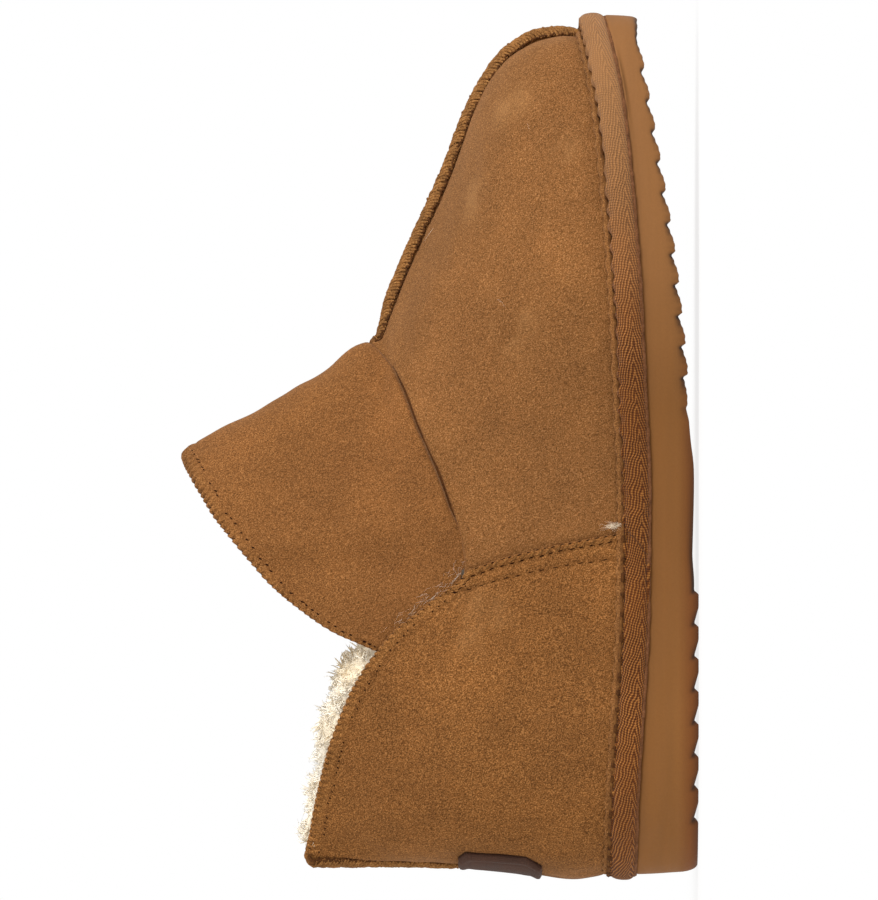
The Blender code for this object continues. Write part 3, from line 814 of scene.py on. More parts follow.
def core_material():
    """Cut suede edges under the overlock, fibrous and painted darker for the shade of the threads over them;
    it also paints the shade in the rand's gutter.
    """
    m = Look("cut_suede_edge", Roughness=0.95, Specular_IOR_Level=0.15)
    fibres = m.noise(0.6, 3.0, 0.7)
    tone = m.ramp(fibres, (0.25, linear(0x472C14)), (0.5, linear(0x653F1D)), (0.75, linear(0x79542A)))
    return m.done(tone, (fibres, 0.2))


def hole_shade_material():
    """Painted shade: the dark inside of a needle hole, given as a dark colour."""
    m = Look("needle_hole", Roughness=1.0, Specular_IOR_Level=0.05)
    return m.done(m.ramp(m.noise(0.3, 2.0), (0.3, linear(0x1C0D05)), (0.7, colour("hole"))))


def label_material():
    """Drum-dyed calf leather: a fine pebbled grain with a low sheen and soft paler and darker clouds."""
    m = Look("drum_dyed_calf_leather", Roughness=0.7, Specular_IOR_Level=0.2)
    pebbles = m.add("TexVoronoi", {"feature": "DISTANCE_TO_EDGE"}, Vector=m.place, Scale=1 / (0.6 * MM))
    grain = m.ramp(pebbles.outputs["Distance"], (0.0, 0.0), (0.16, 1.0))
    clouds = m.noise(4.0)
    tone = m.blend(linear(0x3C261C), colour("label"), grain)
    m.feed("Roughness", m.between(clouds, 0.3, 0.7, 0.62, 0.78))
    return m.done(m.vary(tone, clouds, (0.3, 0.82), (0.7, 1.25)), (grain, 0.08))


def shearling_material(name, trodden=True):
    """Shearling: dense crimped wool, bright and soft at the tips and yellower down at the skin. The faint
    glow stands for the light that passes through the hairs, so that their partings stay pale."""
    m = Look(
        name, Roughness=0.9, Sheen_Weight=0.3, Sheen_Roughness=0.5, Specular_IOR_Level=0.1,
        Emission_Color=rgba(linear(0xFFF0DC)),
    )
    height = m.add("Attribute", {"attribute_name": "tip"}).outputs["Fac"]
    shade = m.add("Attribute", {"attribute_name": "tone"}).outputs["Fac"]
    raised = m.between(m.axes(m.place)["Z"], 0.03, 0.075)
    m.feed("Emission Strength", m.ramp(raised, (0.3, 0.0), (1.0, 0.055)))
    fibres = m.noise(0.35, 2.0)
    tone = m.ramp(height, (0.0, colour("fleece_root")), (0.5, colour("fleece")))
    tone = m.vary(tone, m.noise(9.0), (0.35, linear(0xF4E6C8)), (0.6, 1.0), share=0.7)
    tone = m.vary(tone, shade, (0.0, 0.9), (1.0, 1.04))
    tone = m.vary(tone, fibres, (0.3, 0.92), (0.7, 1.05))
    # painted shade: the wool low in the shoe is tinted tan and darker, for the shade down there and its
    # trodden look
    if trodden:
        tone = m.vary(tone, raised, (0.0, linear(0xCFA66F)), (0.5, linear(0xEBD3A8)), (1.0, 1.0))
    return m.done(tone, (fibres, 0.12))


def floor_material():
    """Painted studio floor: even and pale, with the faintest unevenness of the paint. It fades to the
    brightness of the room around it."""
    m = Look("painted_floor", Roughness=0.9, Specular_IOR_Level=0.05)
    away = m.add("VectorMath", {"operation": "LENGTH"}, i0=m.place).outputs["Value"]
    share = m.between(away, 0.05, 0.35, 0.8, 1.0, smooth=True)
    glow = m.add("Emission", Color=rgba(ROOM_TONE), Strength=1.0).outputs["Emission"]
    mixed = m.add("MixShader", i0=share, i1=m.shader.outputs["BSDF"], i2=glow)
    add_surface(m.tree, "Material Output", mixed)
    return m.done(m.vary(colour("floor"), m.noise(40.0, 2.0, 0.5), (0.3, 0.985), (0.7, 1.0)))


def add_surface(tree, output, mixed):
    tree.links.new(mixed.outputs["Shader"], tree.nodes[output].inputs["Surface"])


ROOM_TONE = linear(0xFFFFFF)
TWILL_LEAN = math.radians(14.0)
MATERIALS = {}
MAKERS = {
    # what makes the material, its name and its values: for suede the grain as a share of the nap's,
    # the contrast, the tint and whether it has a whipped rim; for thread the dark, middle and light
    "suede": (suede_material, "brushed_suede", 0.8, 1.25, (1.0, 1.0, 0.99)),
    "suede_cuff": (suede_material, "brushed_suede_cuff", 0.8, 1.25, (0.95, 0.91, 0.84), True),
    "suede_coarse": (suede_material, "brushed_suede_coarse", 0.85, 1.6, (0.94, 0.89, 0.76), True),
    "tape": (tape_material,),
    "rubber": (rubber_material,),
    "thread": (thread_material, "spun_overlock_thread", 0x5E3B1B, "thread", 0xA67A47),
    "edge_thread": (thread_material, "spun_edge_thread", "suede_dark", 0x784F25, 0x936A39),
    "selvedge": (thread_material, "twill_selvedge", 0x553319, 0x6B4326, 0x80553A),
    # painted shade: dark colours for the shade in the gutters and creases between parts
    "gutter": (thread_material, "shaded_suede_gutter", 0x371B07, 0x4C2B0D, 0x613B15),
    "core": (core_material,),
    "hole": (hole_shade_material,),
    "label": (label_material,),
    "shearling": (shearling_material, "shearling_pile"),
    "stray_wool": (shearling_material, "loose_wool", False),
    "floor": (floor_material,),
}


def material(name):
    """The material of this name, made when it is first asked for."""
    if name not in MATERIALS:
        maker, *values = MAKERS[name]
        MATERIALS[name] = maker(*values)
    return MATERIALS[name]


# Sole

RIB_DEPTH = 1.4
RIB_STEP = 0.7
RIB_LAND = 0.42
FORE_RIBS, FORE_RIB_START, FORE_RIB_PITCH = 12, 9.0, 9.3
HEEL_RIBS, HEEL_RIB_START, HEEL_RIB_PITCH = 7, 177.0, 9.9
RIB_RIPPLE = 2.3
FORE_SPRING = 1.4
TREAD_INSET = 4.8
TOE_INSET_SHARE = 0.4


def tread_ground(along):
    """Height of the ribs' faces: the toe springs up and the waist is hollow."""
    lift = 18.0 * np.maximum(0.0, 1 - along / 114.0) ** 1.15
    arch = ease(along, 122.0, 134.0) * (1 - ease(along, 164.0, 175.0))
    spring = FORE_SPRING * ease(along, 2.0, 14.0) * (1 - ease(along, 116.0, 140.0))
    return lift + 0.8 * arch + spring + 0.9 * bell(along - 98.0, 18.0) + 1.9 * bell(along - 121.0, 13.0)


def rib_cuts(along):
    """Depth of the grooves between the ribs, with the corners rounded."""
    places, cuts = [-10.0], [0.0]
    for i in range(FORE_RIBS):
        start = FORE_RIB_START + i * FORE_RIB_PITCH
        places += [start, start + FORE_RIB_PITCH * (1 - RIB_LAND), start + FORE_RIB_PITCH - RIB_STEP]
        cuts += [RIB_DEPTH, 0.0, 0.0]
    end = FORE_RIB_START + FORE_RIBS * FORE_RIB_PITCH
    places += [end, end + 4.0]
    cuts += [RIB_DEPTH * 0.4, 0.0]
    for i in range(HEEL_RIBS):
        start = HEEL_RIB_START + i * HEEL_RIB_PITCH
        places += [start - RIB_STEP, start, start + HEEL_RIB_PITCH * RIB_LAND]
        cuts += [RIB_DEPTH, 0.0, 0.0]
    last = HEEL_RIB_START + HEEL_RIBS * HEEL_RIB_PITCH
    places += [last - RIB_STEP, last, SOLE_LENGTH + 10.0]
    cuts += [RIB_DEPTH, 0.0, 0.0]
    total = 0.0
    for shift in (-0.36, -0.18, 0.0, 0.18, 0.36):
        total = total + 0.2 * np.interp(along + shift, places, cuts)
    steps = 0.24 * (0.5 - 0.5 * np.cos(2 * math.pi * along / RIB_RIPPLE))
    return total + steps * (1 - ease(along, end - 6.0, end))


def build_outsole():
    """Slices across the sole from toe to heel, with rounded edges and ribs."""
    end = 1e-5 + np.linspace(0, 1, 16) ** 3 * np.array(((0.03,), (0.025,)))
    shares = np.concatenate((end[0], np.linspace(0.03, 0.975, 470)[1:-1], 1 - end[1, ::-1]))
    tread_along = outline(shares, TREAD_INSET, TOE_INSET_SHARE * TREAD_INSET)[0]
    cut = rib_cuts(tread_along)
    levels = (
        # inset, share of the wall's height, millimetres above the tread, share of the rib cut
        (26.0, 1.0, -0.05, 0.0), (9.0, 1.0, -0.05, 0.0), (3.2, 1.0, -0.05, 0.0), (2.5, 1.0, -0.15, 0.0),
        (2.1, 1.0, -0.5, 0.0), (2.0, 1.0, -1.2, 0.0), (2.05, 0.86, 0.0, 0.0), (2.15, 0.72, 0.0, 0.0),
        (2.3, 0.58, 0.0, 0.0), (2.5, 0.44, 0.0, 0.0), (2.75, 0.0, 4.4, 0.0), (3.0, 0.0, 3.0, 0.05),
        (3.3, 0.0, 2.0, 0.3), (3.75, 0.0, 1.0, 0.7), (4.25, 0.0, 0.35, 0.95),
        (TREAD_INSET, 0.0, 0.0, 1.0), (6.4, 0.0, 0.0, 1.0), (26.0, 0.0, 0.0, 1.0),
    )
    right, left, groove_shade = [], [], []
    for inset, wall, lift, groove in levels:
        near = min(inset, TREAD_INSET)
        along, half = outline(shares, near, TOE_INSET_SHARE * near)
        half = half * np.maximum(0.0, 1 - (inset - near) / 50.0) if inset > 20 else half - (inset - near)
        half = np.maximum(half, 0.0)
        ground, top = tread_ground(along), read(SOLE_TOP, along)
        low = np.minimum(1.0, (top - ground) / 12.5) if wall == 0 else 1.0
        z = mix(ground, top, wall) + lift * low + cut * groove
        middle = read(PLAN, along, 2)
        right.append(np.stack((middle + half, along, z), axis=-1))
        left.append(np.stack((middle - half, along, z), axis=-1))
        # painted shade: how deep each point lies in a groove of the tread, for the rubber to darken it
        groove_shade.append(np.stack((cut / RIB_DEPTH, np.full(cut.shape, min(1.0, 1.3 * groove))), axis=-1))
    section = np.stack(right + left[::-1] + right[:1], axis=1)
    made = close_up(grid_mesh(section, np.stack(groove_shade + groove_shade[::-1] + groove_shade[:1], axis=1)))
    return finished("outsole_unit", made, material("rubber"), "outsole_rubber", "outsole")


JOIN_ALONG = 163.0
TAPE_CLEAR = 0.35
LEVEL = np.array((1.0, 1.0, 0.0))


def outline_points(angles, foot, clear):
    """Points of the sole's outline beside the foot of the upper."""
    front, rear = ring_ends(foot, clear)
    share = (surface(angles, foot, clear)[:, 1] - front) / (rear - front)
    along, half = outline(share, 0.0, 0.0)
    side = np.where(angles < 0, -1.0, 1.0)
    return np.stack((read(PLAN, along, 2) + side * half, along, 0.0 * along), axis=-1)


def rand_section(section, angles, foot, clear, rows):
    """Points of a strip round the foot of the upper, from a table of its section."""
    inside = surface(angles, foot, clear)
    outside = outline_points(angles, foot, clear)
    steps = np.linspace(0, section[-1, 0], rows)
    columns = []
    inwards = unit((inside - outside) * LEVEL)
    for share, rise, inset in zip(*(read(section, steps, column) for column in (1, 2, 3))):
        point = mix(surface(angles, foot + rise, clear), outside, share) + inwards * inset
        point[:, 2] = read(SOLE_TOP, point[:, 1]) + 0.3 + rise
        columns.append(point)
    points = np.stack(columns, axis=1)
    out = unit(np.cross(np.gradient(points, axis=0), np.gradient(points, axis=1)))
    return steps, points, -out, run(outside)


def ring_of(points):
    """A strip round the shoe, closed in both directions."""
    closed = np.concatenate((points, points[:, :1]), axis=1)
    closed[-1] = closed[0]
    return closed


def ring_grid(points, uv=None):
    if uv is not None:
        uv = np.concatenate((uv, uv[:, -1:]), axis=1)
    return close_up(grid_mesh(ring_of(points), uv))


def build_rand():
    """Rolled twill tape round the foot of the upper, drawn in by its stitches, and the welt behind it."""
    angles = even_angles(lambda a: surface(a, foot_height(a, 0.0), -4.5), -180.0, 180.0, 0.62)
    clear = np.where(np.abs(angles) >= 89.0, QUARTER_WALL[0], VAMP_WALL[0]) - TAPE_CLEAR
    foot = foot_height(angles, clear)
    steps, points, out, length = rand_section(TAPE_SECTION, angles, foot, clear, 46)
    counted = length + 1.3 * np.sin(length / 11.0) + 0.8 * np.sin(length / 4.7 + 1.0)
    drawn = wave(counted, size("rand_pitch"))
    depth = 1 + 0.35 * np.sin(length / 9.0 + 2.0)[:, None]
    pull = -0.85 * depth * bell(steps - 9.6, 1.8)[None, :] * drawn[:, None] ** 1.5
    pinch = -0.7 * bell(steps - 10.9, 1.1)[None, :] * drawn[:, None] ** 6
    lumps = (0.2 * ripple(points, 5, 22.0) + 0.12 * ripple(points, 6, 7.0)) * ease(steps, 2.5, 5.0)[None, :]
    over = run(points, 1)
    crown = np.array([np.interp(4.4, steps, row) for row in over])
    across = over - crown[:, None] + 0.5 * np.sin(length / 17.0)[:, None]
    inner_side = np.where(angles < 0, np.abs(points[:, 20, 1] - JOIN_ALONG), 1e3)
    lapped = length[np.argmin(inner_side)] - length[:, None] + 1.1 * across
    step_up = 0.55 * ease(lapped, -0.5, 0.4) * (1 - ease(lapped, 0.4, 16.0))
    turned = np.where(lapped > 0, 3.4, 0.0)
    points = points + out * (pull + pinch + lumps + step_up)[..., None]
    uv = np.stack((length[:, None] + turned, across + 0.25 * turned), axis=-1) * MM
    finished("rand_tape", ring_grid(points, uv), material("tape"), "twill_tape", "rand")
    bites = np.arange(1.0, math.floor(counted[-1] / size("rand_pitch"))) * size("rand_pitch")
    build_rand_gutter(angles, foot, clear, length, np.interp(bites, counted, length))
    inwards = unit((points[:, -1] - points[:, 17]) * LEVEL)
    foot_edge = outline_points(angles, foot, clear) + inwards * 1.95
    foot_edge[:, 2] = read(SOLE_TOP, foot_edge[:, 1]) + 0.2
    foot_edge = foot_edge + 0.12 * ripple(foot_edge, 9, 4.0)[:, None]
    lines_mesh("rand_edge_cord", [foot_edge], 0.8, material("selvedge"), "twill_tape")
    steps, points, out, _ = rand_section(WELT_SECTION, angles[::2], foot[::2], clear[::2] + 0.25, 18)
    drawn = drawn[::2, None]
    points = points + out * ((0.25 - 0.6 * drawn) * bell(steps - 2.5, 1.6)[None, :])[..., None]
    points[..., 2] += (0.5 - 0.9 * drawn) * bell(steps - 4.0, 1.6)[None, :]
    finished("rand_welt", ring_grid(points), material("suede"), "suede", "rand")


def build_rand_gutter(angles, foot, clear, length, middles):
    """Painted shade in the gutter between tape and upper: a dark tube along it, and dark needle holes where
    its stitches pass through.
    """
    gutter = rand_section(GUTTER_SECTION, angles, foot, clear, 2)[1]
    reach = np.linspace(-1.3, 1.3, 5)
    holes = []
    for n, place in enumerate(middles):
        around = place + reach * (1.0 + 0.5 * math.sin(2.4 * n))
        holes.append(point_at(around, length, gutter[:, 1]))
    lines_mesh("rand_stitch_holes", holes, 0.75, material("gutter"), "overlock_thread", taper=0.6)
    line = gutter[:, 0].copy()
    line[:, 2] += 0.2 * ripple(line, 8, 3.0)
    lines_mesh("rand_gutter", [line], 0.6, material("core"), "suede")


# Upper

WALLS = {}
SIDES = ((-1, "inner"), (1, "outer"))


def keep_wall(name, section, place, crest, outward=1):
    """Keeps a wall's points for its stitches, with the distance along its edge and over its rim."""
    over = run(section, 1)
    normals = outward * unit(np.cross(np.gradient(section, axis=0), np.gradient(section, axis=1)))
    WALLS[name] = (section, normals, place, over - over[:, crest:crest + 1])


def whipped_wall(name, skin, back, place, suede, node):
    """A suede wall nicked along its rim by the stitches over it. Its coordinates, for the rubbed band, are
    the distance along the rim, counted in uneven stitches, and the distance over it."""
    section = closed_wall(skin, back, 0.4 * stitch_grooves(place[:, -1:], size("edge_pitch")))
    keep_wall(name, section, place[:, -1], skin.shape[1] + RIM_ROWS // 2)
    over = WALLS[name][3]
    uv = np.stack((np.broadcast_to(uneven(place[:, -1:]), over.shape), over), axis=-1) * MM
    return finished(name, close_up(grid_mesh(section, uv)), material(suede), "suede", node)


def on_wall(name, place, over, lift):
    """Points of a wall at distances along its edge and over its rim, lifted off its skin."""
    section, normals, places, overs = WALLS[name]
    place, over, lift = np.broadcast_arrays(place, over, lift)
    found = np.empty((place.size, 3))
    column = np.interp(place.ravel(), places, np.arange(len(places)))
    rows = np.arange(section.shape[1])
    for n, (c, t, rise) in enumerate(zip(column, over.ravel(), lift.ravel())):
        i = min(int(c), len(places) - 2)
        total = 0.0
        for j, weight in ((i, 1 - (c - i)), (i + 1, c - i)):
            r = np.interp(t, overs[j], rows)
            k = min(int(r), len(rows) - 2)
            point = mix(section[j, k], section[j, k + 1], r - k)
            total = total + weight * (point + rise * mix(normals[j, k], normals[j, k + 1], r - k))
        found[n] = total
    return found.reshape(place.shape + (3,))


def gutter_dip(points, foot):
    """The suede is drawn in where the tape is sewn on."""
    above = points[..., 2] - foot[:, None]
    return -0.8 * (1 - ease(above, 7.5, 10.0)) + 0.15 * bell(above - 13.0, 3.5)


def panel_relief(skin, foot, seed, *lumps):
    """A suede panel's creases, its dip above the tape, and seeded lumps, each of a height and a width."""
    relief = swells(skin) + (0.0 if foot is None else gutter_dip(skin, foot))
    for n, (height, width) in enumerate(lumps):
        relief = relief + height * ripple(skin, seed + n, width)
    return relief


def ascending(side, angles):
    return angles if side > 0 else -angles[::-1]


def distance_from(line, end):
    """Distance along a line of columns from the one at its start (0) or its end (-1)."""
    places = run(line)
    return np.abs(places - places[end])[:, None]


def from_middle(line):
    """Distance along a line from halfway along it."""
    places = run(line)
    return np.abs(places - 0.5 * places[-1])


def rounded_edge(distance, radius):
    """How far a rolled edge of this radius falls away, at a distance from it."""
    near = radius - np.minimum(distance, radius)
    return -(radius - np.sqrt(np.maximum(0.0, radius**2 - near**2)))


RIM_ROWS = 5
EDGE_SLANT = 0.3
RIDGE_WIDTH = 15.0


def ridge(z):
    """How far the toe seam's turned-in edges lift the suede beside it."""
    return (2.7 + 0.9 * bell(z - 58.0, 9.0)) * ease(z, 36.0, 60.0)


def build_vamp(side, name):
    """One half of the vamp: the seam edge in front, the throat edge on top, under the lap behind."""
    depth = VAMP_WALL[0]
    spaced = even_angles(lambda a: surface(a, 45.0, depth), 0.0, 98.0, 1.25)
    angles = ascending(side, spaced)
    away_from_toe = np.abs(angles)
    toe, lap = (0, -1) if side > 0 else (-1, 0)
    foot = foot_height(angles, depth)
    at_lap = upper_top(90.0 * side, depth)
    top = np.where(away_from_toe < 90, upper_top(angles, depth), at_lap) - 0.2 + 3.3 * bell(angles, 20.0)
    shares = np.concatenate((np.linspace(0, 0.93, 58), np.linspace(0.93, 1.0, 12)[1:]))
    z = rows_between(foot + 1.0, top, shares)
    column = angles[:, None]
    skin = surface(column, z, depth + 0.25 * ease(away_from_toe, 89.0, 91.0)[:, None])
    out = facing(column, z, depth)
    away = edge_places(skin, skin[:, -1])[1]
    middle = surface(angles, 55.0, depth)
    seam_side, lap_side = distance_from(middle, toe), distance_from(middle, lap)
    relief = panel_relief(skin, foot, 21, (0.22, 26.0), (0.1, 9.0))
    relief += 0.5 * rounded_edge(away, 1.3) + ridge(z) * bell(seam_side, RIDGE_WIDTH)
    relief *= ease(lap_side, 0.0, 12.0) * 0.8 + 0.2
    relief = np.where(away_from_toe[:, None] > 90.0, np.minimum(relief, 0.0), relief)
    skin = skin + out * relief[..., None]
    back_z = rows_between(foot + 1.0, top - 0.6, np.linspace(1.0, 0.0, 10))
    back = surface(column, back_z, VAMP_WALL[1])
    made = close_up(grid_mesh(closed_wall(skin, back)))
    return finished(name, made, material("suede"), "suede", "upper")


LAP_ROWS = (0.5, 2.6, 8.2)
LAP_BITE_PITCH, LAP_BITE_START = 2.7, 9.5
LAP_DASH_PITCH, LAP_DASH_START = 3.0, 10.4


def lap_spread(share):
    """The rows of the lap lie further apart towards its top, along the wall's slanting rows."""
    return 1 + 0.4 * share**3


def lap_relief(distance, place):
    """The lap's edge nicked by its bites, and the suede full between its rows of stitching."""
    near, middle, far = LAP_ROWS
    distance = distance / lap_spread(place / place.max())
    bite = wave(place - LAP_BITE_START, LAP_BITE_PITCH)
    dash = wave(place - LAP_DASH_START, LAP_DASH_PITCH)
    grooves = (-0.18 - 0.3 * dash) * bell(distance - middle, 0.7) - 0.3 * bell(distance - far, 0.8)
    full = 0.25 * bell(distance - 0.5 * (near + middle), 0.8)
    full = full + 0.34 * bell(distance - 0.5 * (middle + far), 1.3)
    return grooves + full - 0.45 * bite * bell(distance, 1.2) + 0.8 * rounded_edge(distance, 0.6)


def build_quarter(side, name):
    """One heel quarter: lapped over the vamp in front, sewn to the other at the heel."""
    depth = QUARTER_WALL[0]
    edge = even_angles(lambda a: surface(a, upper_top(a, depth), depth), 90.0, 180.0, 0.47)
    lap_band = even_angles(lambda a: surface(a, 45.0, depth), 90.0, 101.0, 0.45)
    angles = np.concatenate((lap_band, edge[edge > lap_band[-1] + 0.1]))
    angles = ascending(side, angles)
    lap, heel = (0, -1) if side > 0 else (-1, 0)
    foot = foot_height(angles, depth)
    top = upper_top(angles, depth) - 1.0 + 0.9 * ease(np.abs(angles), 105.0, 130.0)
    shares = np.concatenate((np.linspace(0, 0.9, 96), np.linspace(0.9, 1.0, 22)[1:]))
    z = rows_between(foot + 1.0, top, shares)
    column = angles[:, None]
    skin = surface(column, z, depth)
    out = facing(column, z, depth)
    place, away = edge_places(skin, skin[:, -1])
    relief = panel_relief(skin, foot, 31, (0.25, 24.0), (0.12, 8.0))
    relief += edge_puckers(place, away)
    steps = run(skin)
    from_lap, from_heel = np.abs(steps - steps[lap]), np.abs(steps - steps[heel])
    up_lap = run(skin[lap])
    relief *= ease(from_lap, 0.0, 10.0) * 0.75 + 0.25
    relief += lap_relief(from_lap, up_lap[None, :]) + 0.8 * bell(from_heel, 6.0)
    skin = skin + out * relief[..., None]
    inner = mix(-0.05, QUARTER_WALL[1], ease(np.abs(angles), 96.0, 102.0))[:, None]
    back = surface(column, rows_between(foot + 1.0, top, np.linspace(1.0, 0.0, 12)), inner)
    band = np.swapaxes(skin[:60] if side > 0 else skin[:-60:-1], 0, 1)
    keep_wall(name + "_lap", band, up_lap, 0, -side)
    return whipped_wall(name, skin, back, place, "suede_coarse", "upper")


def build_cuff():
    """The tall front collar piece: a turned seam at the throat and a whipped edge on top."""
    def edge(a):
        outer = cuff_depths(a)[0]
        return surface(a, cuff_top(a, outer), outer)
    angles = even_angles(edge, -CUFF_END_ANGLE, CUFF_END_ANGLE, 0.47)
    outer, inner = cuff_depths(angles)
    open_crease = ease(np.abs(angles), 48.0, 64.0) * (1 - ease(np.abs(angles), 84.5, 87.5))
    foot = cuff_foot(angles) + 0.4 + 2.8 * bell(angles, 14.0) + 0.15 * open_crease
    top = cuff_top(angles, outer) - 1.0 + 1.2 * (1 - ease(np.abs(angles), 20.0, 60.0))
    shares = np.concatenate((
        np.linspace(0, 0.05, 7), np.linspace(0.05, 0.88, 34)[1:], np.linspace(0.88, 1.0, 20)[1:]
    ))
    z = rows_between(foot, top, shares)
    column = angles[:, None]
    skin = surface(column, z, outer[:, None])
    out = facing(column, z, outer[:, None])
    place, away = edge_places(skin, skin[:, -1])
    relief = panel_relief(skin, None, 41, (0.25, 24.0), (0.1, 8.0))
    relief += edge_puckers(place, away)
    foot_away = edge_places(skin, skin[:, 0])[1]
    front = 1 - ease(np.abs(column), 84.0, 90.0)
    from_front = from_middle(skin[:, 0])[:, None]
    relief += (0.8 * rounded_edge(foot_away, 1.8) + 0.3 * bell(foot_away - 4.0, 3.0)) * front
    relief += 2.1 * bell(from_front, 13.0) * (1 - ease(foot_away, 2.0, 22.0))
    relief += 1.1 * bell(from_front, 16.0) * ease(foot_away, 12.0, 26.0)
    relief = np.where(np.abs(column) > 84.0, np.minimum(relief, 0.15), relief)
    skin = skin + out * relief[..., None]
    back = surface(column, rows_between(foot, top, np.linspace(1.0, 0.0, 12)), inner[:, None])
    return whipped_wall("cuff_panel", skin, back, place, "suede_cuff", "cuff")


def build_throat_allowance():
    """The turned-in edges where the cuff joins the vamp, deep in the crease between them, given the dark
    gutter colour as painted shade of the crease.
    """
    angles = np.linspace(-87.0, 87.0, 200)
    line = upper_top(angles, VAMP_WALL[0])
    lifted = 0.7 * bell(from_middle(surface(angles, line, 0.0)), 14.0)
    line = line + 2.2 * bell(angles, 18.0)
    corners = ((0.75, -1.8), (0.75, 1.3), (1.8, 1.3), (1.8, -1.8), (0.75, -1.8))
    away = np.abs(angles)
    ends = (1 - ease(away, 82.0, 86.5)) * (0.35 + 0.65 * ease(away, 16.0, 34.0))
    section = [surface(angles, line + rise * ends, depth - lifted) for depth, rise in corners]
    made = close_up(grid_mesh(np.stack(section, axis=1)))
    return finished("throat_seam_allowance", made, material("gutter"), "suede")


# Stitches

def dots(name, wall, places, length, width, slant=0.0):
    """Needle holes and nicks as painted shade: dark ovals sunk in the suede; places are rows of (along,
    over).
    """
    places = np.array(places)
    turn = np.array((-0.5, 0.0, 0.5)) * length
    along = places[:, :1] + turn * math.cos(slant)
    over = places[:, 1:] + turn * math.sin(slant)
    points = on_wall(wall, along, over, -0.22 * width)
    return lines_mesh(name, points, 0.5 * width, material("hole"), "overlock_thread", taper=0.35)


def build_edge_stitches():
    """Painted shade in the nicks that the overlock pulls in the rims, and in the needle holes below them, as
    dark ovals.
    """
    pitch, reach = size("edge_pitch"), size("edge_reach")
    for wall in ("cuff_panel", "quarter_inner", "quarter_outer"):
        rng = np.random.default_rng(len(wall))
        places = stitch_places(WALLS[wall][2][-1], pitch)
        nicks = [(place, -0.4 + rng.normal(0, 0.2)) for place in places]
        dots(wall + "_rim_nicks", wall, nicks, 1.7, 0.42, 1.35)
        holes = [(place + rng.normal(0, 0.25) - EDGE_SLANT * reach, -reach - 1.6 + rng.normal(0, 0.18))
                 for place in places if rng.random() < 0.62]
        dots(wall + "_edge_holes", wall, holes, 0.8, 0.62, 0.5)


def build_lap_stitches():
    """Rows of lockstitch along the lap, which turn across it at the top, drawn as dark dashes of painted
    shade where the thread sinks in, and bites over its edge.
    """
    near, middle, far = LAP_ROWS
    for _, tag in SIDES:
        wall = f"quarter_{tag}_lap"
        top = WALLS[wall][2][-1]
        rng = np.random.default_rng(7)
        rows = (
            # row, distance from the edge, start, pitch, length, width
            ("edge", near, LAP_BITE_START, LAP_BITE_PITCH, 1.25, 0.55),
            ("middle", middle, LAP_DASH_START, LAP_DASH_PITCH, 1.35, 0.55),
            ("far", far, 11.2, 1.15 * LAP_DASH_PITCH, 1.3, 0.42),
        )
        for row, distance, start, pitch, length, width in rows:
            heights = np.arange(start, top - 2.2, pitch)
            places = []
            for h in heights:
                up = h + rng.normal(0, 0.25)
                places.append((up, (distance + rng.normal(0, 0.12)) * lap_spread(h / top)))
            dots(f"lap_{tag}_{row}_row", wall, places, length, width, 0.12)
        turned = [
            (top - 2.6 - 0.3 * n, distance * 1.35)
            for n, distance in enumerate(np.arange(middle + 1.0, far + 0.4, 1.6))
        ]
        dots(f"lap_{tag}_turn", wall, turned, 1.2, 0.5, 1.3)
        threads = []
        for height in np.arange(10.0, top - 3.0, LAP_BITE_PITCH):
            steps = np.linspace(0, 1, 6)
            lift = 0.16 * np.array((-1.6, 0.5, 1.0, 1.0, 0.5, -1.6))
            lean = height + 1.3 * steps + rng.normal(0, 0.15)
            threads.append(on_wall(wall, lean, near + 0.3 + (middle - near - 0.6) * steps, lift))
        lines_mesh(f"lap_{tag}_bites", threads, 0.24, material("edge_thread"), "overlock_thread")


# Raised seams

SEAM_WIDTH, SEAM_HEIGHT = 5.8, 3.2
SEAM_SINK = -1.6
MARK_ACROSS = 0.468
PATH_STEP = 0.3
HEEL_SEAM_WIDTH, HEEL_SEAM_HEIGHT = 4.4, 1.9
LABEL_BOTTOM, LABEL_TOP = 47.5, 73.0
LABEL_HALF_BOTTOM, LABEL_HALF_TOP = 17.5, 16.5
LABEL_PROUD = 1.9
LABEL_CORNER = 4.6
SEAM_PROFILE = np.array((
    # across, up
    (-0.5, 0), (-0.46, 0.45), (-0.3, 0.82), (0, 1), (0.3, 0.82), (0.46, 0.45), (0.5, 0),
))


def line_path(angle, start, end, depth_at):
    """Points up one column of the last, evenly apart, with outward directions in the upright plane."""
    heights = np.linspace(start, end, 900)
    dense = surface(angle, heights, depth_at(heights))
    lengths = run(dense)
    z = np.interp(np.arange(0.0, lengths[-1], PATH_STEP), lengths, heights)
    points = surface(angle, z, depth_at(z))
    rising = unit(np.gradient(points, axis=0) * np.array((0.0, 1.0, 1.0)))
    turn = 1.0 if abs(angle) <= 90 else -1.0
    out = np.stack((0 * z, -rising[:, 2] * turn, rising[:, 1] * turn), axis=-1)
    return points, out


def seam_point(path, place, across, lift, width, height):
    """Points over a raised seam: across runs from -0.5 to 0.5, and height is read along the seam."""
    points, out = path
    lengths = run(points)
    base, away = point_at(place, lengths, points), point_at(place, lengths, out)
    from_end = np.minimum(place, lengths[-1] - place)
    shares, heights = np.array(height).T
    tall = np.interp(place, shares * lengths[-1], heights) + rounded_edge(np.maximum(from_end, 0.0), 0.8)
    up = SEAM_SINK + (tall + 0.3 - SEAM_SINK) * read(SEAM_PROFILE, np.clip(across, -0.5, 0.5)) + lift
    side = np.array((1.0, 0.0, 0.0))
    return base + side * (width * across)[..., None] + away * up[..., None]


